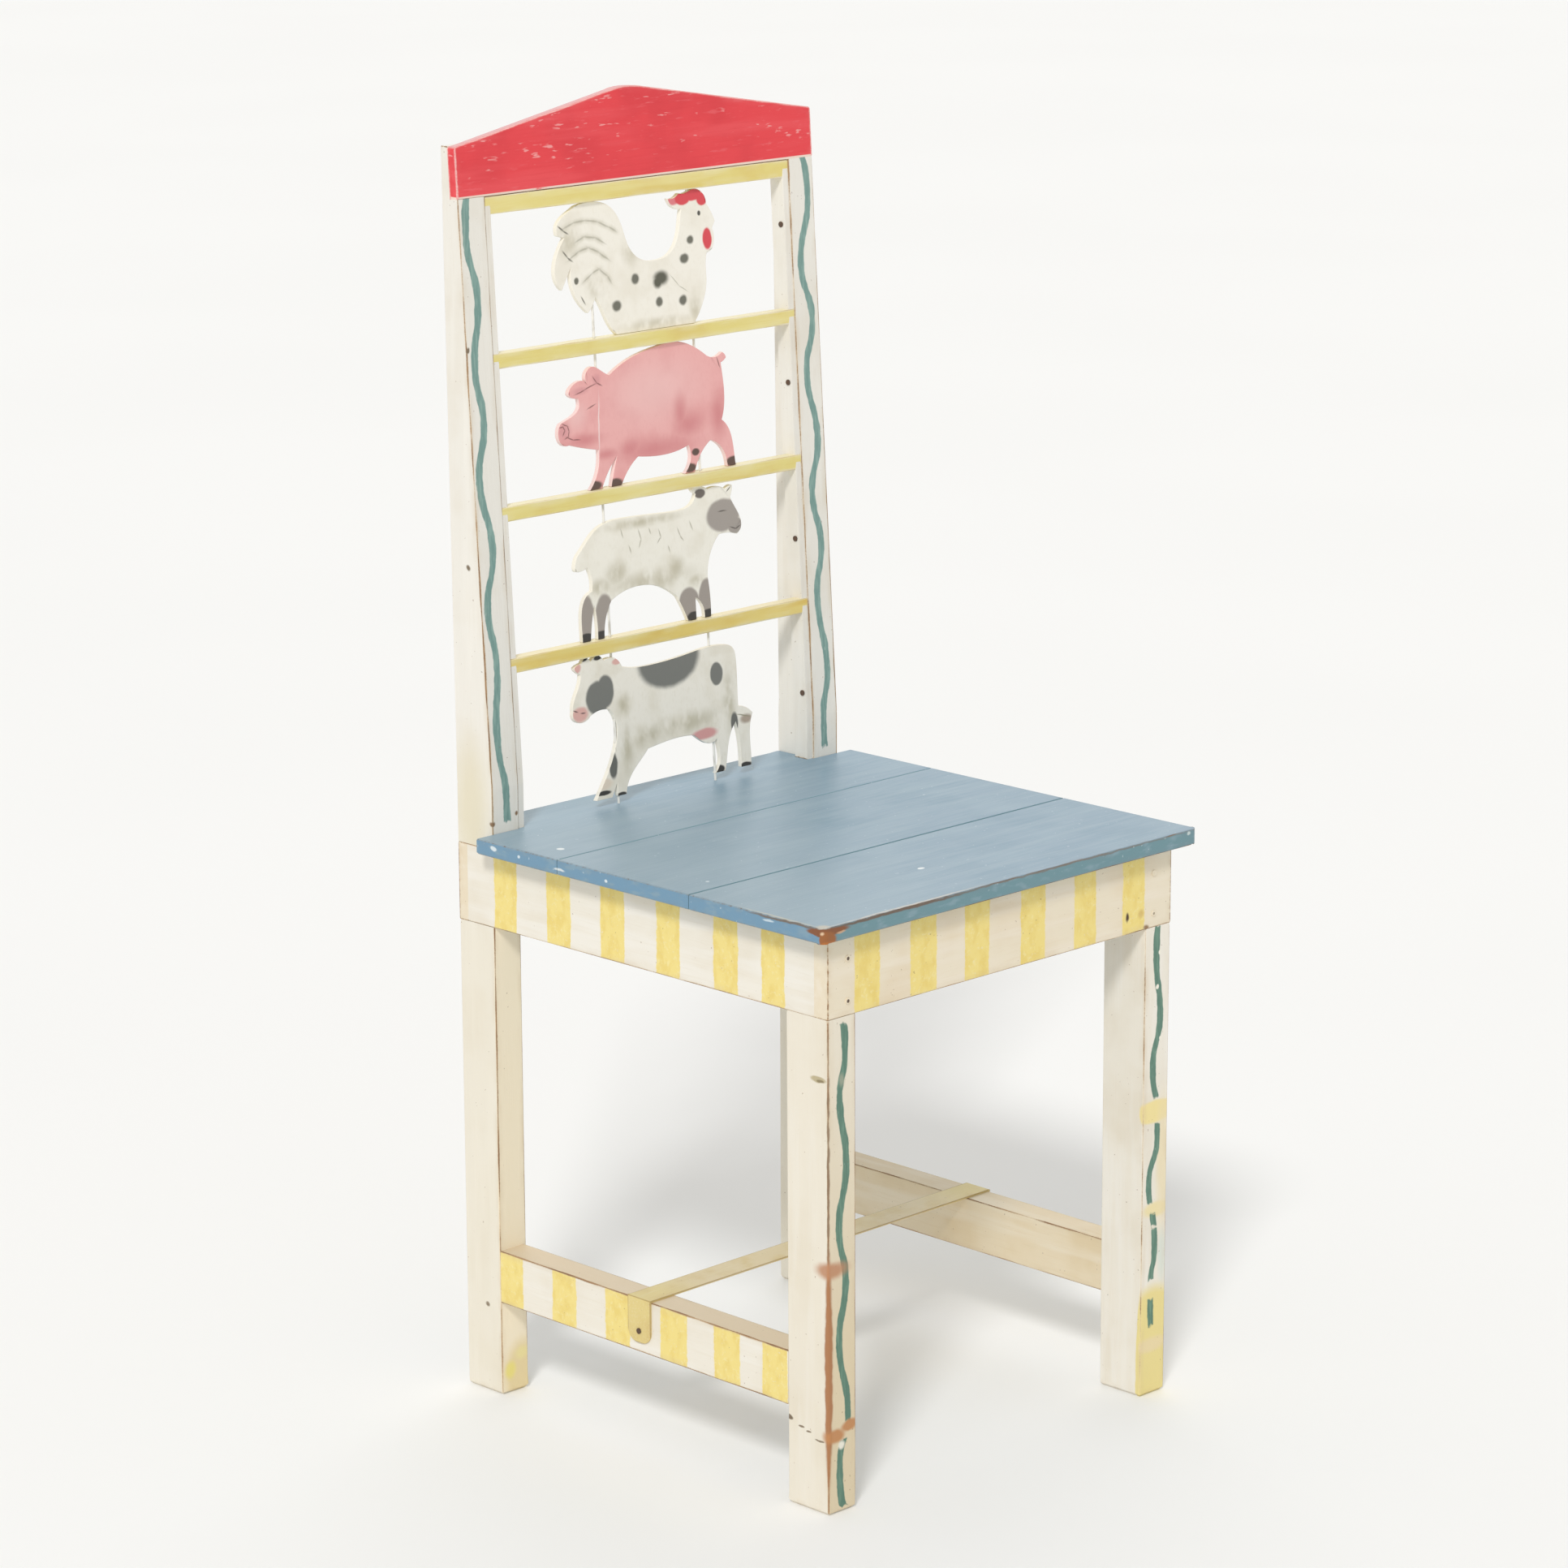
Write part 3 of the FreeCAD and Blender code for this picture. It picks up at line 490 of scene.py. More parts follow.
@dataclass(frozen=True)
class LinePaint:
    """Artist's teal from one loaded brush: dark where it is wet, streaky where it runs dry.

    Half its width, its swell, the raggedness of its ends and the curve's margin are in mm. Bristle
    marks are drawn coarser than real ones, to show.
    """

    wet: str
    thin: str
    dry: str
    half: float = 3.4
    swell: float = 3.0
    full: float = 0.96
    ragged: float = 7.0
    margin: float = 4.0

    def coat(self, graph: Graph, face: Socket, points: tuple, runs: tuple) -> tuple:
        """Paint a wavering upright line on a front face.

        Args:
            graph: The material that is drawn up.
            face: 1 on the painted face.
            points: Heights and places across that the line goes through, in mm, from the bottom up.
            runs: The heights between which the line is painted.

        Returns:
            The paint and its cover.
        """
        middle = self.middle(graph, points)
        width = graph.reckon(graph.cloud((30.0, 30.0, 11.0), 3.0), ("SUBTRACT", 0.5),
                             ("MULTIPLY", self.swell))
        away = graph.reckon(graph.axes[0], ("SUBTRACT", middle), ("ABSOLUTE",), ("SUBTRACT", width))
        ends = graph.reckon(graph.cloud(3.0), ("SUBTRACT", 0.5),
                            ("MULTIPLY_ADD", self.ragged, graph.axes[2]))
        painted = graph.either([graph.within(ends, low, high, 1.2) for low, high in runs])
        colour = graph.coats(self.wet, [
            (self.thin, graph.cover(graph.cloud((2.0, 2.0, 16.0), 3.0), 0.42, 0.7, 0.8)),
            (self.dry, graph.cover(graph.cloud((1.6, 1.6, 6.0)), 0.68, 0.8, 0.7))])
        return colour, graph.cover(away, self.half + 0.5, self.half - 0.5, self.full, painted, face)

    def middle(self, graph: Graph, points: tuple) -> Socket:
        """Draw the line's place across, in mm, at each height.

        Args:
            graph: The material that is drawn up.
            points: Heights and places across, in mm, from the bottom up.

        Returns:
            The place across.
        """
        base, top = points[0][0], points[-1][0]
        left = min(across for _, across in points) - self.margin
        wide = max(across for _, across in points) + self.margin - left
        places = [((height - base) / (top - base), (across - left) / wide)
                  for height, across in points]
        up = graph.add("ShaderNodeMapRange", {0: graph.axes[2], 1: base, 2: top})
        bend = graph.add("ShaderNodeFloatCurve", {"Value": up})
        curve = bend.node.mapping.curves[0]
        curve.points[0].location, curve.points[1].location = places[0], places[-1]
        for place in places[1:-1]:
            curve.points.new(*place)
        bend.node.mapping.update()
        return graph.reckon(bend, ("MULTIPLY_ADD", wide, left))


STRIPE = StripePaint()
# Teal on the legs, laid on full.
LEG_TEAL = LinePaint("#4D7969", "#6B9380", "#98B6A4")
# The same teal on the posts, thinned and paler.
POST_TEAL = LinePaint("#6E948D", "#8CADA4", "#AEC5BB")


class Arrises:
    """Picks out a piece's outer arrises for easing, and leaves holes and joints sharp."""

    WEIGHT = "bevel_weight_edge"
    FACET = 0.3  # mm; the shortest edge on a curved outline
    BOARD = 65.0  # mm; longer than any edge inside a joint
    WELD = 0.02  # mm
    SHARP = 40.0  # degrees
    shared: Union[bpy.types.NodeTree, None] = None
    least: str = ""

    @classmethod
    def picker(cls) -> bpy.types.NodeTree:
        """Draw up the node group that marks convex edges from a given length up.

        Returns:
            The group, which all pieces share.
        """
        if cls.shared is None:
            group = bpy.data.node_groups.new("pick_arrises", "GeometryNodeTree")
            for way in ("INPUT", "OUTPUT"):
                group.interface.new_socket("Geometry", in_out=way, socket_type="NodeSocketGeometry")
            cls.least = group.interface.new_socket("Least", in_out="INPUT",
                                                   socket_type="NodeSocketFloat").identifier
            tree = Tree(group)
            given = tree.add("NodeGroupInput")
            plain = tree.add("GeometryNodeRemoveAttribute",
                             {"Geometry": given, "Name": "custom_normal"})
            joined = tree.add("GeometryNodeMergeByDistance",
                              {"Geometry": plain, "Distance": cls.WELD / MM})
            flat = tree.add("GeometryNodeSetShadeSmooth",
                            {"Geometry": joined, "Shade Smooth": False})
            ends = tree.add("GeometryNodeInputMeshEdgeVertices", out="Position 1")
            length = tree.add("ShaderNodeVectorMath", {0: ends, 1: ends.node.outputs["Position 2"]},
                              out="Value", operation="DISTANCE")
            angle = tree.add("GeometryNodeInputMeshEdgeAngle", out="Signed Angle")
            long = tree.add("ShaderNodeMath", {0: length, 1: given.node.outputs["Least"]},
                            operation="GREATER_THAN")
            sharp = tree.add("ShaderNodeMath", {0: angle, 1: math.radians(cls.SHARP)},
                             operation="GREATER_THAN")
            weight = tree.add("ShaderNodeMath", {0: long, 1: sharp}, operation="MULTIPLY")
            marked = tree.add("GeometryNodeStoreNamedAttribute",
                              {"Geometry": flat, "Name": cls.WEIGHT, "Value": weight},
                              domain="EDGE", data_type="FLOAT")
            tree.add("NodeGroupOutput", {0: marked})
            cls.shared = group
        return cls.shared

    @classmethod
    def ease(cls, node: bpy.types.Object, width: float, segments: int = 2,
             least: float = BOARD) -> None:
        """Ease a piece's arrises, as sanding and use do.

        Args:
            node: The piece's object.
            width: The width of the eased arris in mm.
            segments: How many facets the arris has.
            least: The length in mm from which an edge counts as an arris.
        """
        picked = node.modifiers.new("picked_arrises", "NODES")
        picked.node_group = cls.picker()
        picked[cls.least] = least / MM
        ease = node.modifiers.new("eased_arrises", "BEVEL")
        ease.width = width / MM
        ease.segments = segments
        ease.limit_method = "WEIGHT"
        ease.use_clamp_overlap = False


def dress(node: bpy.types.Object, material: bpy.types.Material) -> None:
    """Give a node its finish.

    Args:
        node: The piece's object.
        material: The finish.
    """
    node.data.materials.clear()
    node.data.materials.append(material)
    LOG.info("dressed %s in %s", node.name, material.name)


@dataclass
class Frame:
    """The posts, legs, aprons and stretchers, in cream paint with yellow stripes and teal lines.

    Sizes are in mm. A line goes through heights and places across; a run or a band is where its
    paint begins and ends.
    """

    nodes: dict
    rake_start: float = 490.0
    under_seat: tuple = (430.0, 360.0)  # heights between which the painted shade below the seat sets in, and a warmer front on the posts
    front_tan: tuple = (460.0, 90.0)  # heights between which a leg's front grows tan
    skin: float = 1.2  # the depth that counts as a face
    patch_wander: float = 1.0
    post_arris: float = 1.0
    leg_arris: float = 1.2
    rail_arris: float = 0.9
    apron_arris: float = 0.8
    left_post_line: tuple = ((458, -172.4), (490, -173.6), (534, -179.2), (584, -175.4),
                             (628, -181.2), (672, -172.8), (728, -182.0), (770, -174.4),
                             (812, -180.0), (862, -173.4), (910, -181.3), (942, -176.5))
    right_post_line: tuple = ((458, 176.0), (490, 172.4), (525, 178.8), (588, 171.2), (629, 178.2),
                              (671, 170.8), (714, 179.7), (768, 170.8), (811, 179.6), (854, 169.7),
                              (910, 180.5), (942, 172.0))
    left_leg_line: tuple = ((4, -170.5), (38, -176.0), (76, -167.5), (134, -176.4), (180, -169.6),
                            (220, -176.4), (270, -169.0), (322, -175.6), (352, -170.2),
                            (376, -172.5))
    right_leg_line: tuple = ((57, 171.0), (79, 170.0), (97, 170.4), (118, 174.2), (148, 171.5),
                             (174, 166.4), (208, 175.6), (236, 174.8), (268, 169.4), (308, 177.2),
                             (356, 172.0), (381, 173.0))
    left_leg_runs: tuple = ((4, 57), (70, 376))
    right_leg_runs: tuple = ((57, 79), (95, 136.5), (138.5, 149), (158, 222), (243, 381))
    post_runs: tuple = ((463, 945),)
    front_bands: tuple = ((-160.1, -133.8), (-101.4, -74.0), (-43.6, -17.2), (17.2, 44.6),
                          (77.0, 101.4), (131.8, 157.1))
    side_bands: tuple = ((137.5, 163.0), (77.0, 103.5), (17.5, 43.5), (-42.5, -17.5),
                         (-104.0, -78.5), (-152.5, -128.5))
    low_bands: tuple = ((137.5, 163.5), (76.5, 103.5), (16.5, 43.5), (-46.5, -17.5),
                        (-103.5, -76.0), (-153.5, -127.5))
    leg_patches: tuple = (
        Blot((173, -196.5, 232), (27, 5, 9.5), "#F0DE9A", 0.2, 0.95),
        Blot((175, -196.5, 152), (16, 3, 7), "#ECDCA0", 0.4, 0.8),
        Blot((183, -196.5, 190), (9, 3, 58), "#ECDCB2", 0.6, 0.7),
        Blot((183, -196.5, 113), (6, 3, 24), "#D5DFD6", 0.6, 0.7),
        Blot((173, -196.5, 20), (44, 5, 71), "#E9D88E", 0.12, 0.95),
        Blot((171, -196.5, 41), (20, 3, 6.5), "#EAD7AC", 0.5, 0.85))
    leg_chips: tuple = (
        Blot((176, -196.5, 359.2), (1.7, 3, 1.8), "#EFEBDD"),
        Blot((173.8, -196.5, 332.5), (1.9, 3, 2.1), "#EFEBDD"),
        Blot((178, -196.5, 290.1), (1.6, 3, 1.8), "#EFEBDD"))
    leg_wear: tuple = (
        Blot((-173.6, -196.5, 333.5), (3.2, 3, 6), "#A3A894", 0.7, 0.75),
        Blot((-187.5, -196.5, 270), (1.6, 1.4, 118), "#8B745C", 0.5, 0.9),
        Blot((-187.5, -196.5, 112), (4.6, 4.0, 92), "#AC7850"),
        Blot((-187.5, -196.5, 190), (22, 14, 7), "#BC8560", 0.55, 0.9),
        Blot((-181, -196.5, 61), (11, 9, 6), OCHRE, 0.4, 0.95),
        Blot((-166, -196.5, 66.5), (9, 3, 5), OCHRE, 0.4, 0.95),
        Blot((-174, -196.5, 53), (4, 2, 3.5), "#F2EDDF", 0.5, 0.9),
        Blot((-187.5, -155.5, 68), (2, 4, 2.2), "#7A6A56"),
        Blot((-187.5, -168, 63.5), (2, 3.5, 0.9), "#8D7D68"),
        Blot((-187.5, -176, 61), (2, 3, 0.9), "#8D7D68"),
        Blot((-187.5, -187, 57), (2, 5.5, 0.9), "#8D7D68"),
        Blot((-187.5, -186.5, 334.8), (2, 8.5, 2.6), "#BDB08D"),
        Blot((-187.5, -189, 333.8), (2, 4, 1.2), "#8F8160"))
    post_marks: tuple = (
        Blot((-166, 163.5, 14), (20, 4, 30), "#E4CF98", 0.4, 0.8),
        Blot((-179, 163.5, 19), (6, 4, 8), "#EBDD7E", 0.6, 0.9),
        Blot((-167, 163.5, 31), (8, 4, 6), "#EFE3A0", 0.7, 0.7),
        Blot((-187.5, 179.1, 72.2), (2, 2.4, 2.2), "#8E7F69", 0.5),
        Blot((-187.5, 186, 659.7), (2, 2.4, 2.4), "#7E6F5A", 0.5),
        Blot((-185.8, 183.3, 826), (1.8, 3, 2.4), "#7E6F5A", 0.5),
        Blot((-187.5, 188, 470), (3, 24, 60), "#E0D6B6", 0.8, 0.7),
        Blot((-162.9, 163.5, 467.6), (1.6, 3, 2), "#8A6F52", 0.5),
        Blot((-187, 164.5, 463), (2, 3, 2.2), "#8A6F52", 0.5))
    apron_marks: tuple = (
        Blot((137.4, -196.5, 394.3), (2.0, 3, 4.0), "#4E3A28", 0.5),
        Blot((153.3, -196.5, 394.4), (3.5, 3, 3.5), "#C9A55E", 0.7, 0.6),
        Blot((159.2, -196.5, 382.5), (3.5, 3, 2.2), "#8A6640", 0.6, 0.9))

    def build(self) -> None:
        """Dress each piece of the frame."""
        for side in ("left", "right"):
            self.dress_post(side)
            self.dress_leg(side)
            self.dress_rail(f"{side}_apron", CREAM, self.side_bands)
        self.dress_rail("left_stretcher", replace(CREAM, wear=0.95), self.low_bands, 0.9)
        # The far stretcher's cream is painted shade.
        self.dress_rail("right_stretcher", replace(SHADED_TAN_CREAM, wear=0.75), self.low_bands, 0.25)
        self.dress_apron("front_apron", "xXyzZ", self.apron_marks)
        self.dress_apron("back_apron", "xXYzZ", ())

    def dress_post(self, side: str) -> None:
        """Dress a back post, whose front leans back above the seat and is duller below it.

        Args:
            side: The post's side.
        """
        name = f"{side}_back_post"
        graph, box = Graph(f"{CREAM.name}_paint_{name}"), Box.of(name)
        rise = graph.reckon(graph.axes[2], ("SUBTRACT", self.rake_start), ("MAXIMUM", 0.0))
        front = graph.reckon(rise, ("MULTIPLY_ADD", -BACK_LEAN, graph.axes[1]),
                             ("SUBTRACT", box.low.y))
        face = graph.within(front, -self.skin, self.skin)
        line = self.left_post_line if side == "left" else self.right_post_line
        # Below the seat: painted shade all round, and warmer, yellowed paint on the front face.
        decor = [("#E6DCC3", graph.cover(graph.axes[2], *self.under_seat, 0.45)),
                 ("#FAECCE", graph.cover(graph.axes[2], *self.under_seat, 0.7, face)),
                 POST_TEAL.coat(graph, face, line, self.post_runs)]
        marks = self.post_marks if side == "left" else ()
        distances = box.inwards(graph, "xXzZ") + [front]
        dress(self.nodes[name], replace(PALE, wear=0.7).make(graph, Run.UP, distances, decor,
                                                             marks))
        Arrises.ease(self.nodes[name], self.post_arris)

    def dress_leg(self, side: str) -> None:
        """Dress a front leg with its teal line: the left one stained, the right one patched.

        Args:
            side: The leg's side.
        """
        name = f"{side}_front_leg"
        graph, box = Graph(f"{CREAM.name}_paint_{name}"), Box.of(name)
        face = graph.within(graph.reckon(graph.axes[1], ("SUBTRACT", box.low.y)), -self.skin,
                            self.skin)
        if side == "left":
            paint = replace(CREAM, wear=0.95, bare_light="#A9805C", bare_dark="#86603F")
            # Painted shade below the seat.
            decor = [("#E6DCC6", graph.cover(graph.axes[2], *self.under_seat, 0.35)),
                     ("#DAC9A6", graph.cover(graph.axes[2], *self.front_tan, 0.85, face)),
                     LEG_TEAL.coat(graph, face, self.left_leg_line, self.left_leg_runs)]
            marks = self.leg_wear
        else:
            paint, marks = CREAM, self.leg_chips
            decor = spotted(graph, self.leg_patches, self.patch_wander)
            decor.append(LEG_TEAL.coat(graph, face, self.right_leg_line, self.right_leg_runs))
        dress(self.nodes[name], paint.make(graph, Run.UP, box.inwards(graph, "xXyzZ"), decor,
                                           marks))
        Arrises.ease(self.nodes[name], self.leg_arris)

    def dress_rail(self, name: str, paint: BrushedPaint, bands: tuple, rubbed: float = 0.0) -> None:
        """Dress a side apron or a stretcher, striped on its outer face.

        Args:
            name: The piece's name.
            paint: Its paint.
            bands: The limits of its stripes in mm.
            rubbed: How far feet have rubbed its top to a tan.
        """
        graph, box = Graph(f"{paint.name}_paint_{name}"), Box.of(name)
        outer = graph.reckon(graph.axes[0], ("ABSOLUTE",))
        reach = max(abs(box.low.x), abs(box.high.x))
        face = graph.within(outer, reach - self.skin, reach + self.skin)
        decor = [STRIPE.coat(graph, Run.DEEP.value, face, bands),
                 (TAN, graph.cover(graph.facing[2], 0.6, 0.9, rubbed))]
        dress(self.nodes[name], paint.make(graph, Run.DEEP, box.inwards(graph, "xXzZ"), decor))
        Arrises.ease(self.nodes[name], self.rail_arris)

    def dress_apron(self, name: str, faces: str, marks: tuple) -> None:
        """Dress the front or the back apron, striped on its outer face.

        Args:
            name: The piece's name.
            faces: The faces whose arrises are worn.
            marks: The stains on it.
        """
        graph, box = Graph(f"{PEACH.name}_paint_{name}"), Box.of(name)
        outer = graph.reckon(graph.axes[1], ("ABSOLUTE",))
        reach = max(abs(box.low.y), abs(box.high.y))
        face = graph.within(outer, reach - self.skin, reach + self.skin)
        decor = [STRIPE.coat(graph, Run.ACROSS.value, face, self.front_bands)]
        dress(self.nodes[name], PEACH.make(graph, Run.ACROSS, box.inwards(graph, faces), decor,
                                           marks))
        Arrises.ease(self.nodes[name], self.apron_arris)


@dataclass
class Seat:
    """Three boards in milky blue paint, rubbed through along the front and at one corner.

    Each board has the faces whose arrises are worn.
    """

    nodes: dict
    arris: float = 1.6
    arris_facets: int = 3
    edges: tuple = (("seat_front_board", "xXyzZ"), ("seat_middle_board", "xXzZ"),
                    ("seat_back_board", "xXYzZ"))
    wear: tuple = (
        Blot((-120, -206.2, 456), (95, 1.5, 2.4), "#CFC9BD", 0.5, 0.8),
        Blot((-202.4, -165, 456), (1.4, 48, 2.4), "#C3C2B4", 0.5, 0.7),
        Blot((-200.6, -204.4, 456), (7, 6, 2.4), "#CDC5B4", 0.5, 0.8),
        # A dark brown line below the pale rim: partly worn wood, partly painted shade under the
        # rim.
        Blot((45, -208.5, 454.1), (150, 2.4, 0.8), "#7D7166", 0.6, 0.7),
        Blot((194, -208.5, 452.6), (2, 2, 1.4), "#C3CFCE", 0.5),
        Blot((-204.5, 69.9, 447.6), (2, 6, 1.2), "#D5DDDE", 0.5),
        # Dark brown lines below the pale rim: partly worn wood, partly painted shade under the rim.
        Blot((-135, -208.5, 453.7), (92, 2.6, 1.2), "#6F5B4C", 0.5, 0.9),
        Blot((-204.5, -172, 453.9), (2.4, 44, 1.0), "#75685A", 0.5, 0.9),
        Blot((-204.5, -208.5, 451.6), (28, 17, 3.0), "#86563A", 0.2),
        Blot((-203.5, -208.5, 446), (13, 4.6, 7), "#99623A", 0.2),
        Blot((-199, -208.5, 443.4), (12, 4, 1.6), "#B06C36", 0.5, 0.9),
        # Painted highlight: a small light dot on the worn corner.
        Blot((-203.6, -207.2, 451.2), (1.8, 2.4, 1.5), "#DDBE9C", 0.5),
        Blot((-186, -208.5, 449.6), (5, 2, 0.9), "#CFA988", 0.5, 0.8),
        Blot((-180.3, 94.5, 455), (3.0, 3.0, 2), "#E6ECEE"),
        Blot((-31.9, -140.6, 455), (3.8, 2.4, 2), "#E6ECEE"),
        Blot((-169, -53.7, 455), (1.8, 1.8, 2), "#CAD7DD"),
        Blot((-204.5, 143.9, 450.6), (2, 3.8, 2.0), "#D5E0E5"),
        Blot((-204.5, 115.3, 449.4), (2, 1.6, 1.3), "#D5E0E5"),
        Blot((-204.5, 18.1, 448.4), (2, 1.7, 1.3), "#D5E0E5"),
        Blot((-204.5, -153.4, 451.3), (2, 6, 1.1), "#BFD0DA"))

    def build(self) -> None:
        """Dress each board of the seat."""
        for name, faces in self.edges:
            graph, box = Graph(f"{BLUE.name}_paint_{name}"), Box.of(name)
            distances = box.inwards(graph, faces)
            dress(self.nodes[name], BLUE.make(graph, Run.ACROSS, distances, self.weathering_and_painted_light(graph),
                                              self.wear))
            Arrises.ease(self.nodes[name], self.arris, self.arris_facets)

    @staticmethod
    def weathering_and_painted_light(graph: Graph) -> list:
        """Draw the haze and the painted light towards the left on top, and the deeper, blotchy blue
        of the edges, with painted shade on their front faces.

        Args:
            graph: The material that is drawn up.

        Returns:
            The coats.
        """
        flat = graph.reckon(graph.facing[2], ("ABSOLUTE",))
        blotches = graph.cover(flat, 0.7, 0.3, 0.6)
        return [("#8FA8B7", graph.cover(graph.cloud((60.0, 30.0, 30.0), 4.0), 0.45, 0.7, 0.5)),
                # Painted light: the top grows paler towards the seat's left end.
                ("#A0B5C0", graph.cover(graph.axes[0], 60.0, -200.0, 0.5)),
                ("#6F95B0", graph.cover(flat, 0.7, 0.3, 0.9)),
                # Painted shade: the front-facing edges of the seat are darker.
                ("#6F9196", graph.cover(graph.facing[1], -0.4, -0.8, 0.85)),
                ("#8BA3AF", graph.cover(graph.cloud((15.0, 15.0, 5.0), 3.0), 0.5, 0.7, blotches)),
                ("#C9D5DA", graph.cover(graph.cloud(3.4, 1.0), 0.74, 0.78, 0.6))]


@dataclass
class Back:
    """The red crest board, the cream stiles and the yellow slats, with sizes in mm."""

    nodes: dict
    slats: int = 4
    stile_arris: float = 0.6
    slat_arris: float = 0.7
    crest_arris: float = 1.0
    crest_shoulder: float = 978.0
    crest_shift: float = 10.0
    crest_peak: float = 1011.25
    crest_round: float = 7.5
    crest_thickness: float = 8.7

    def build(self) -> None:
        """Dress each piece of the back."""
        self.dress_crest()
        for side in ("left", "right"):
            self.dress_board(f"{side}_stile", PALE, Run.UP, "xXzZ", self.stile_arris)
        for number in range(1, self.slats + 1):
            paint = GOLD if number == self.slats else YELLOW
            self.dress_board(f"slat_{number}", paint, Run.ACROSS, "yYzZ", self.slat_arris)

    def dress_crest(self) -> None:
        """Dress the gable-shaped crest board, rubbed pale along its arrises and flecked."""
        name = "crest_board"
        graph, box = Graph(f"{RED.name}_paint_{name}"), Box.of(name)
        rise = self.crest_peak - self.crest_shoulder
        halves = (-self.crest_shift - box.low.x, box.high.x + self.crest_shift)
        from_left, from_right, foot = box.inwards(graph, "xXz")
        tops = [graph.reckon(inwards, ("MULTIPLY_ADD", rise / half, self.crest_shoulder),
                             ("SUBTRACT", graph.axes[2]))
                for inwards, half in zip((from_left, from_right), halves)]
        top = graph.reckon(tops[0], ("SMOOTH_MIN", tops[1], self.crest_round))
        front = graph.reckon(foot, ("MULTIPLY_ADD", -BACK_LEAN, graph.axes[1]),
                             ("SUBTRACT", box.low.y))
        back = graph.reckon(front, ("SUBTRACT", self.crest_thickness), ("ABSOLUTE",))
        rows = graph.cover(graph.cloud((60.0, 30.0, 9.0), 2.0), 0.44, 0.6,
                           graph.cover(foot, 4.0, 26.0, 0.8))
        flecks = graph.cover(graph.cloud((12.0, 5.0, 2.6), 2.0), 0.62, 0.7, rows)
        scuffs = graph.cover(graph.cloud(Run.ACROSS.stretch(3.0, 18.0), 3.0), 0.6, 0.76, 0.5)
        rubbed = graph.cover(graph.facing[2], 0.5, 0.8, 0.75)
        # The bottom arris and the underside pale: partly worn to the undercoat, partly painted
        # light in the shade below the crest.
        pale_lip_and_painted_light = graph.cover(graph.cloud((16.0, 8.0, 8.0), 3.0), 0.22, 0.36,
                          graph.cover(foot, 2.5, 1.9, 0.95))
        decor = [("#EC6A70", scuffs), ("#F4AAA8", flecks), ("#E3BFBF", rubbed), ("#F1DECF", pale_lip_and_painted_light)]
        distances = [from_left, from_right, top, front, back]
        dress(self.nodes[name], RED.make(graph, Run.ACROSS, distances, decor))
        Arrises.ease(self.nodes[name], self.crest_arris)

    def dress_board(self, name: str, paint: BrushedPaint, run: Run, faces: str,
                    width: float) -> None:
        """Dress one plain stick or lath.

        Args:
            name: The piece's name.
            paint: Its paint.
            run: The way its grain runs.
            faces: The faces whose arrises are worn.
            width: The width of its eased arrises in mm.
        """
        graph, box = Graph(f"{paint.name}_paint_{name}"), Box.of(name)
        # The tops are paler: partly worn to the undercoat, partly painted light from above.
        decor = [(paint.bare_light, graph.cover(graph.facing[2], 0.5, 0.9, 0.7))]
        dress(self.nodes[name], paint.make(graph, run, box.inwards(graph, faces), decor))
        Arrises.ease(self.nodes[name], width)


@dataclass(frozen=True)
class Dabs:
    """Dabs of one colour: places as shares of a figure's width and height, half sizes in mm."""

    colour: str
    spots: tuple
    rim: float = 0.25
    cover: float = 1.0

    def blots(self, box: Box) -> list:
        """Place the dabs on a figure.

        Args:
            box: The figure's box.

        Returns:
            One spot for each dab.
        """
        size, deep = box.high - box.low, (box.low.y + box.high.y) / 2
        return [Blot((box.low.x + across * size.x, deep, box.low.z + up * size.z),
                     (wide, THROUGH, high), self.colour, self.rim, self.cover)
                for across, up, wide, high in self.spots]


@dataclass(frozen=True)
class Strokes:
    """Thin brush lines of one colour, through places as shares of a figure's width and height."""

    colour: str
    half: float
    lines: tuple
    rim: float = 0.7
    cover: float = 0.9
    overlap: float = 0.62

    def blots(self, box: Box) -> list:
        """Place each line as a row of slim dabs.

        Args:
            box: The figure's box.

        Returns:
            One spot for each stretch of a line.
        """
        size, deep, found = box.high - box.low, (box.low.y + box.high.y) / 2, []
        for line in self.lines:
            spots = [Vector((box.low.x + across * size.x, box.low.z + up * size.z))
                     for across, up in line]
            for start, end in zip(spots, spots[1:]):
                middle, along = (start + end) / 2, end - start
                found.append(Blot((middle.x, deep, middle.y),
                                  (along.length * self.overlap + self.half, THROUGH, self.half),
                                  self.colour, self.rim, self.cover,
                                  math.degrees(math.atan2(along.y, along.x))))
        return found


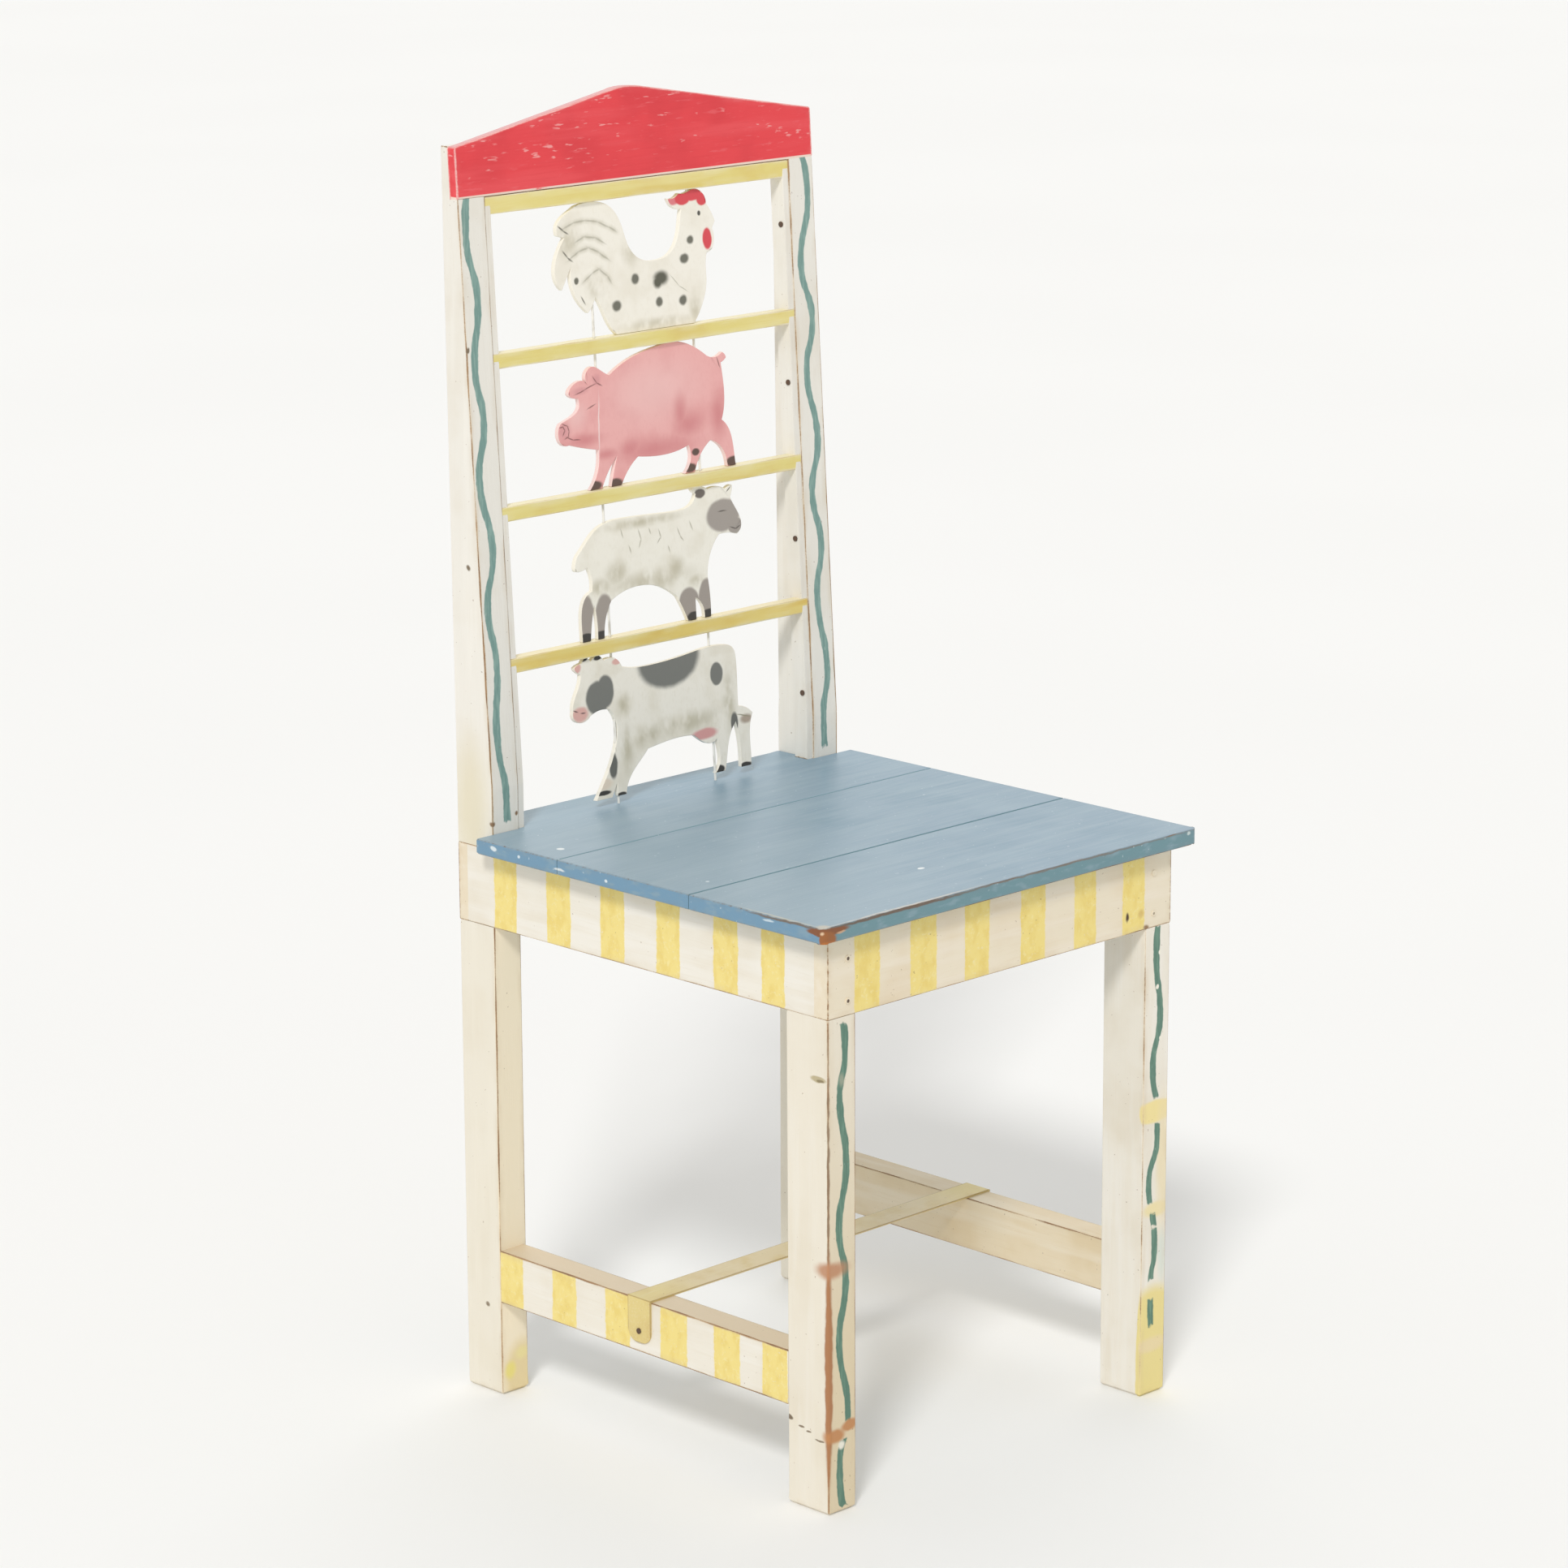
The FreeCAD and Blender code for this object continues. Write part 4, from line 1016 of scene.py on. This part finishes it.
@dataclass(frozen=True)
class FigurePaint:
    """Artist's paint on a sawn board: a thin ground, soft brushed shadows and small firm details.

    Patterns have their size in mm. Bristle marks are drawn coarser than real ones, to show.
    A mark whose rim is at least `soft` is a shadow, broken up by the dabs of a dry brush.
    """

    ground: str
    shade: str
    marks: tuple
    cut: str = "#F5F0E3"
    roughness: float = 0.5
    soft: float = 0.9
    wander: float = 0.8
    waver: float = 9.0
    stroke: tuple = (2.2, 2.2, 4.5)
    stroke_relief: float = 0.06
    dab: tuple = (11.0, 11.0, 16.0)
    mottle: float = 22.0

    def make(self, graph: Graph, box: Box) -> bpy.types.Material:
        """Draw up the paint of one figure.

        Args:
            graph: The material that is drawn up.
            box: The figure's box.

        Returns:
            The finished material.
        """
        place = graph.adrift(self.wander, self.waver)
        strokes = graph.cloud(self.stroke, 3.0)
        dabbed = graph.cover(graph.cloud(self.dab), 0.25, 0.6)
        layers = [(self.shade, graph.cover(graph.cloud(self.mottle, 3.0), 0.42, 0.72, 0.6)),
                  (self.shade, graph.cover(strokes, 0.5, 0.75, 0.3))]
        for mark in self.marks:
            painted = graph.either([blot.mask(graph, place) for blot in mark.blots(box)])
            shadow = [("MULTIPLY", dabbed)] if mark.rim >= self.soft else []
            layers.append((mark.colour, graph.reckon(painted, *shadow)))
        sideways = graph.reckon(graph.facing[1], ("ABSOLUTE",))
        layers.append((self.cut, graph.cover(sideways, 0.75, 0.45, 0.9)))
        gloss = graph.reckon(strokes, ("SUBTRACT", 0.5), ("MULTIPLY", 0.2), ("ADD", self.roughness))
        height = graph.reckon(strokes, ("MULTIPLY", self.stroke_relief))
        return graph.surface(graph.coats(self.ground, layers), gloss, height)


# The soft shadow and the hooves that the animals share.
OLIVE, HOOF = "#B8AF92", "#3B3834"
# The long feathers of the rooster's tail.
FEATHERS = (
    ((0.072, 0.83), (0.13, 0.86), (0.196, 0.869), (0.277, 0.846), (0.341, 0.797), (0.38, 0.761)),
    ((0.094, 0.6), (0.153, 0.649), (0.212, 0.669), (0.275, 0.619), (0.33, 0.56)),
    ((0.176, 0.428), (0.228, 0.478), (0.27, 0.501), (0.317, 0.443), (0.339, 0.39)),
    ((0.14, 0.72), (0.191, 0.752), (0.255, 0.735), (0.311, 0.683)))
# White bird with grey feather strokes and dots, and a red comb and wattle.
ROOSTER = FigurePaint("#F8F3E7", "#ECE5D5", (
    Dabs(OLIVE, ((0.248, 0.376, 10.8, 8.9), (0.608, 0.042, 40, 4.9), (0.465, 0.618, 9.2, 13.4),
                 (0.849, 0.11, 6.1, 13.4), (0.092, 0.738, 12.3, 13.4)), 0.95, 0.6),
    Strokes("#CBC5B2", 2.6, FEATHERS, 1.0, 0.7), Strokes("#A29E8C", 0.8, FEATHERS, 0.8, 0.55),
    Strokes("#6F6C62", 0.75, (((0.04, 0.848), (0.066, 0.811), (0.091, 0.787)),
                              ((0.155, 0.312), (0.172, 0.266)),
                              ((0.059, 0.66), (0.083, 0.617), (0.108, 0.585)))),
    Strokes("#C6C2B2", 0.5, (((0.707, 0.381), (0.754, 0.298), (0.803, 0.249)),)),
    Dabs("#706F63", ((0.838, 0.625, 4.0, 3.8), (0.795, 0.493, 5.0, 4.3), (0.486, 0.393, 4.4, 4.4),
                     (0.627, 0.198, 3.8, 4.2), (0.775, 0.186, 4.4, 4.2), (0.366, 0.215, 5.2, 4.6),
                     (0.129, 0.438, 2.6, 2.9)), 0.4),
    Dabs("#5C5B4D", ((0.645, 0.372, 8.6, 6.2), (0.625, 0.345, 5.6, 5.0)), 0.5),
    Dabs("#E07E84", ((0.747, 0.937, 7.4, 4.6),), 0.3),
    Dabs("#DC4A53", ((0.802, 0.936, 8.6, 5.2), (0.864, 0.955, 11.1, 4.8), (0.923, 0.918, 6.1, 5.2),
                     (0.945, 0.616, 5.2, 8.9)), 0.2),
    Dabs("#55534D", ((0.90, 0.815, 1.8, 2.2),), 0.4)))
# Pink pig with soft rosy shadows and dark trotters.
PIG = FigurePaint("#F0B2AF", "#E69F9E", (
    Dabs("#F4C6C2", ((0.55, 0.66, 50, 26), (0.105, 0.563, 12.3, 11.2)), 1.0, 0.7),
    Dabs("#D38082", ((0.54, 0.225, 46, 9.5), (0.40, 0.26, 14, 8), (0.735, 0.37, 17, 11),
                     (0.692, 0.46, 8, 16), (0.91, 0.40, 9, 20), (0.26, 0.25, 14, 4.5),
                     (0.143, 0.38, 20, 5.5)), 1.0, 0.75),
    Dabs("#D49396", ((0.135, 0.745, 9.2, 3.1), (0.228, 0.805, 4.3, 4.9), (0.034, 0.469, 7.4, 6.7)),
         0.7, 0.65),
    Dabs("#5F4A42", ((0.18, 0.03, 10, 4.6), (0.30, 0.02, 10, 4.6), (0.73, 0.04, 8, 4.0),
                     (0.985, 0.035, 9, 4.4), (0.769, 0.152, 4.6, 2.9)), 0.3),
    Strokes("#8E5C5A", 0.6, (
        ((0.174, 0.605), (0.21, 0.628)), ((0.051, 0.42), (0.083, 0.396), (0.116, 0.387)),
        ((0.028, 0.524), (0.054, 0.504), (0.062, 0.463), (0.057, 0.424), (0.039, 0.412)),
        ((0.012, 0.5), (0.03, 0.504), (0.038, 0.474), (0.028, 0.441)),
        ((0.109, 0.725), (0.158, 0.746), (0.219, 0.777)),
        ((0.209, 0.829), (0.227, 0.785), (0.252, 0.76)), ((0.917, 0.829), (0.931, 0.759)))),
    Strokes("#F8E3DF", 0.7, (((0.234, 0.654), (0.224, 0.297)),))), "#F5DAD6", soft=2.0)
# White sheep with olive shadows, short wool strokes, and a grey face and legs.
SHEEP = FigurePaint("#F7F2E5", "#E9E2D1", (
    Dabs(OLIVE, ((0.241, 0.466, 12.3, 10.1), (0.438, 0.386, 12.3, 7.8), (0.593, 0.419, 9.2, 10.1),
                 (0.711, 0.297, 9.8, 5.4), (0.143, 0.389, 12.3, 6.7), (0.399, 0.812, 46, 4),
                 (0.44, 0.36, 46, 9)), 0.95, 0.68),
    Strokes("#BDB7A6", 0.7, (
        ((0.381, 0.756), (0.394, 0.682), (0.381, 0.634)),
        ((0.501, 0.727), (0.51, 0.674), (0.492, 0.638)),
        ((0.613, 0.711), (0.627, 0.656), (0.642, 0.622)), ((0.278, 0.78), (0.287, 0.728)),
        ((0.445, 0.751), (0.452, 0.719)), ((0.688, 0.744), (0.702, 0.689)),
        ((0.321, 0.649), (0.33, 0.606)), ((0.552, 0.593), (0.56, 0.554)))),
    Dabs("#A39990", ((0.04, 0.14, 12, 24), (0.16, 0.13, 11, 22), (0.66, 0.11, 12, 16),
                     (0.77, 0.13, 10, 18)), 0.12),
    Dabs("#A69D95", ((0.89, 0.75, 18.8, 13.6), (0.957, 0.66, 8.0, 7.2)), 0.15),
    Dabs("#6C645D", ((0.756, 0.945, 6.1, 4.0),)),
    Dabs(HOOF, ((0.045, 0.03, 9, 4), (0.135, 0.03, 8, 4), (0.69, 0.03, 9, 4), (0.775, 0.03, 8, 4)),
         0.25),
    Strokes("#544D47", 0.6, (((0.867, 0.784), (0.906, 0.783)),
                             ((0.934, 0.648), (0.963, 0.629), (0.987, 0.648)),
                             ((0.92, 0.926), (0.939, 0.952))))))
# White cow with grey patches, olive shadows and a pink muzzle.
COW = FigurePaint("#F6F0E3", "#E5DDCA", (
    Dabs(OLIVE, ((0.41, 0.369, 18.4, 8.9), (0.287, 0.329, 7.4, 20.1), (0.64, 0.399, 36.9, 8.9),
                 (0.867, 0.489, 7.4, 24.6), (0.277, 0.614, 6.8, 11.2)), 0.95, 0.7),
    Dabs("#797973", ((0.139, 0.708, 12.9, 13.9), (0.182, 0.743, 9.2, 13.4),
                     (0.537, 0.874, 34.4, 23.5), (0.803, 0.698, 7.1, 9.6)), 0.15),
    Dabs("#6B6B65", ((0.204, 0.221, 4.9, 11.2), (0.892, 0.328, 4.3, 8.9))),
    Dabs("#EBDCC8", ((0.151, 0.104, 9.2, 4.9),), 0.4),
    Dabs("#E3B2A8", ((0.04, 0.62, 9.2, 6.3), (0.034, 0.942, 4.9, 4.5), (0.25, 0.931, 4.9, 2.7)),
         0.35),
    Dabs("#DB9F9B", ((0.72, 0.296, 14.8, 4.9),), 0.35),
    Dabs("#8A6A50", ((0.96, 0.338, 7.4, 4),), 0.5, 0.7),
    Dabs(HOOF, ((0.144, 0.044, 8.6, 2), (0.244, 0.01, 5.5, 2.2), (0.798, 0.023, 5.5, 3.6),
                (0.947, 0.012, 6.8, 2.5), (0.075, 0.991, 3.7, 2), (0.148, 0.983, 4.3, 2)), 0.3),
    Strokes("#5A4646", 0.6, (((0.007, 0.652), (0.024, 0.64)), ((0.047, 0.626), (0.065, 0.624)))),
    Strokes("#9D967F", 0.6, (((0.206, 0.521), (0.221, 0.348)), ((0.91, 0.381), (0.979, 0.35))))))


@dataclass
class Figures:
    """The four flat animals between the slats."""

    nodes: dict
    arris: float = 0.5
    arris_facets: int = 2
    paints: tuple = (("rooster_figure", ROOSTER), ("pig_figure", PIG), ("sheep_figure", SHEEP),
                     ("cow_figure", COW))

    def build(self) -> None:
        """Dress each figure."""
        for name, paint in self.paints:
            dress(self.nodes[name], paint.make(Graph(f"artist_paint_{name}"), Box.of(name)))
            Arrises.ease(self.nodes[name], self.arris, self.arris_facets, Arrises.FACET)


@dataclass(frozen=True)
class Steel:
    """A small piece of steel under paint, enamel or rust, with soft stains of a size in mm."""

    name: str
    colour: str
    stain: str
    cell: tuple
    start: float
    end: float
    most: float = 1.0
    roughness: float = 0.3
    rough_spread: float = 0.2
    relief: float = 0.05
    metallic: float = 0.0

    def make(self, graph: Graph, under: tuple = (), over: tuple = ()) -> bpy.types.Material:
        """Draw up the finish of one piece.

        Args:
            graph: The material that is drawn up.
            under: Coats below the stains.
            over: Coats on top of them.

        Returns:
            The finished material.
        """
        pattern = graph.cloud(self.cell, 3.0)
        stained = (self.stain, graph.cover(pattern, self.start, self.end, self.most))
        colour = graph.coats(self.colour, [*under, stained, *over])
        gloss = graph.reckon(pattern, ("MULTIPLY_ADD", self.rough_spread, self.roughness))
        height = graph.reckon(pattern, ("MULTIPLY", self.relief))
        return graph.surface(colour, gloss, height, Metallic=self.metallic)


# Yellow paint brushed on strip steel: a smooth even colour with faint strokes along the strap.
STRAP_PAINT = Steel("yellow_paint", "#DECBA0", "#E9DDB8", Run.ACROSS.stretch(1.4, 30.0), 0.5, 0.72,
                    0.3, roughness=0.32, rough_spread=0.25, relief=0.06)
# White enamel on steel wire: smooth and bright, with greyer rubbed spots.
WIRE_ENAMEL = Steel("white_enamel", "#EDEAE2", "#A9A498", (4.0, 4.0, 12.0), 0.5, 0.7, 0.6)
# Old wire nails: dark oxidised steel with rusty flecks, drawn coarser than real grains of rust.
RUSTY_STEEL = Steel("rusty_steel", "#5B5148", "#6E4A30", (0.9, 0.9, 0.9), 0.42, 0.62,
                    roughness=0.45, rough_spread=0.3, metallic=0.4)
# Nail heads painted over with the apron: the same cream, a little mottled.
PAINTED_STEEL = Steel("painted_steel", PEACH.paint, PEACH.shade, (2.0, 2.0, 2.0), 0.4, 0.7,
                      roughness=0.4)


@dataclass
class Hardware:
    """The painted strap, the wire rods and the nails."""

    nodes: dict
    strap_ends: tuple = (120.0, 175.0)
    strap_arris: float = 0.4
    strap_facets: int = 2
    dot_wander: float = 0.4
    nail_dots: tuple = (
        Blot((-167.5, -197, 424), (1.5, 4, 1.5), "#5C4A3A"),
        Blot((-167.5, -197, 392), (1.5, 4, 1.5), "#5C4A3A"),
        Blot((167.5, -197, 392), (1.2, 4, 1.2), "#A3947C"))

    def build(self) -> None:
        """Dress each piece of metal."""
        self.dress_strap("stretcher_strap")
        for name in ("left_figure_rod", "right_figure_rod"):
            self.dress_small(name, WIRE_ENAMEL)
        self.dress_small("apron_nails", PAINTED_STEEL, self.nail_dots)
        for name in ("stile_nails", "strap_nails"):
            self.dress_small(name, RUSTY_STEEL)

    def dress_strap(self, name: str) -> None:
        """Dress the strap: tan where shoes rub it, yellow at its ends, and painted shade along its
        edges.

        Args:
            name: The piece's name.
        """
        graph, box = Graph(f"{STRAP_PAINT.name}_{name}"), Box.of(name)
        outer = graph.reckon(graph.axes[0], ("ABSOLUTE",))
        edge = graph.second_least(box.inwards(graph))
        under = (("#DFCB86", graph.cover(outer, *self.strap_ends)),
                 ("#D3B976", graph.cover(graph.cloud(24.0, 3.0), 0.42, 0.72, 0.7)))
        over = (("#8A6A45", graph.cover(graph.cloud(4.0, 4.0), 0.69, 0.75, 0.5)),
                # Painted shade: a dark line along the strap's edges.
                ("#A08455", graph.cover(edge, 1.0, 0.4, 0.7)))
        dress(self.nodes[name], STRAP_PAINT.make(graph, under, over))
        Arrises.ease(self.nodes[name], self.strap_arris, self.strap_facets, Arrises.FACET)

    def dress_small(self, name: str, finish: Steel, dots: tuple = ()) -> None:
        """Dress a rod or a set of nails.

        Args:
            name: The piece's name.
            finish: Its finish.
            dots: Rubbed dots where the steel shows.
        """
        graph = Graph(f"{finish.name}_{name}")
        dress(self.nodes[name], finish.make(graph, over=spotted(graph, dots, self.dot_wander)))


@dataclass(frozen=True)
class Lamp:
    """One broad soft lamp: the way in which it lies, its strength and its width in degrees."""

    name: str
    towards: tuple
    strength: float
    spread: float


@dataclass
class Studio:
    """The pale floor, the soft light and the camera at the photograph's angle.

    The image and the focal length are in pixels, the sensor in mm, the eye and the floor in metres.
    """

    image: int = 1932
    focal: float = 6301.14
    eye: tuple = (-2.70006, -2.68093, 1.42716)
    right: tuple = (0.7086006, -0.7055982, -0.0040406)
    up: tuple = (0.1715179, 0.1666875, 0.9709773)
    forward: tuple = (0.6844463, 0.6887281, -0.2391376)
    floor_reach: float = 60.0
    floor: tuple = ("#F7F7F6", "#F6F6F5")
    floor_roughness: float = 0.9
    floor_cell: float = 900.0
    wall: str = "#E6E5E2"
    air: str = "#FFFEFB"
    ambient: float = 0.62
    sensor: float = 36.0
    lamps: tuple = (Lamp("key", (-0.62, -0.42, 0.66), 1.46, 11.0),
                    Lamp("fill", (0.62, 0.5, 0.6), 0.45, 50.0))

    def build(self) -> None:
        """Set up the view transform, camera, floor and light."""
        scene = bpy.context.scene
        scene.view_settings.view_transform = "Standard"
        scene.camera = self.make_camera()
        self.make_floor()
        self.make_world()
        for lamp in self.lamps:
            self.hang(lamp)

    def make_camera(self) -> bpy.types.Object:
        """Stand the camera where the photograph was taken from.

        Returns:
            The camera.
        """
        data = bpy.data.cameras.new("camera")
        data.sensor_width = self.sensor
        data.lens = self.focal / self.image * self.sensor
        camera = bpy.data.objects.new("camera", data)
        bpy.context.collection.objects.link(camera)
        turn = Matrix((self.right, self.up, [-part for part in self.forward])).transposed()
        camera.matrix_world = Matrix.Translation(self.eye) @ turn.to_4x4()
        return camera

    def make_floor(self) -> None:
        """Lay a wide floor of matt studio paper: pale, even and without gloss."""
        reach = self.floor_reach
        mesh = bpy.data.meshes.new("studio_floor")
        corners = [(-reach, -reach, 0), (reach, -reach, 0), (reach, reach, 0), (-reach, reach, 0)]
        mesh.from_pydata(corners, [], [(0, 1, 2, 3)])
        floor = bpy.data.objects.new("studio_floor", mesh)
        bpy.context.collection.objects.link(floor)
        graph = Graph("pale_floor")
        clouded = graph.cover(graph.cloud(self.floor_cell, 1.0), 0.3, 0.7)
        colour = graph.coats(self.floor[0], [(self.floor[1], clouded)])
        dress(floor, graph.surface(colour, self.floor_roughness, 0.0))

    def make_world(self) -> None:
        """Light the room evenly, and show a pale wall behind the floor."""
        world = bpy.data.worlds.new("studio")
        bpy.context.scene.world = world
        world.use_nodes = True
        tree = Tree(world.node_tree)
        light = tree.add("ShaderNodeBackground", {0: self.air, 1: self.ambient})
        wall = tree.add("ShaderNodeBackground", {0: self.wall})
        path = tree.add("ShaderNodeLightPath", out="Is Camera Ray")
        seen = path
        for ray in ("Is Glossy Ray", "Is Transmission Ray"):
            seen = tree.add("ShaderNodeMath", {0: seen, 1: path.node.outputs[ray]},
                            operation="MAXIMUM")
        shown = tree.add("ShaderNodeMixShader", {0: seen, 1: light, 2: wall})
        tree.add("ShaderNodeOutputWorld", {0: shown})

    @staticmethod
    def hang(lamp: Lamp) -> None:
        """Hang one lamp.

        Args:
            lamp: What it is like.
        """
        data = bpy.data.lights.new(lamp.name, "SUN")
        data.energy = lamp.strength
        data.angle = math.radians(lamp.spread)
        sun = bpy.data.objects.new(lamp.name, data)
        bpy.context.collection.objects.link(sun)
        sun.rotation_euler = Vector(lamp.towards).to_track_quat("Z", "Y").to_euler()


def main() -> None:
    """Dress the chair and set the studio."""
    logging.basicConfig(level=logging.INFO, format="%(name)s: %(message)s")
    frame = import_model()
    nodes = frame["nodes"]
    for assembly in (Frame(nodes), Seat(nodes), Back(nodes), Figures(nodes), Hardware(nodes)):
        assembly.build()
        LOG.info("built %s", type(assembly).__name__)
    Studio().build()


if __name__ == "__main__":
    main()
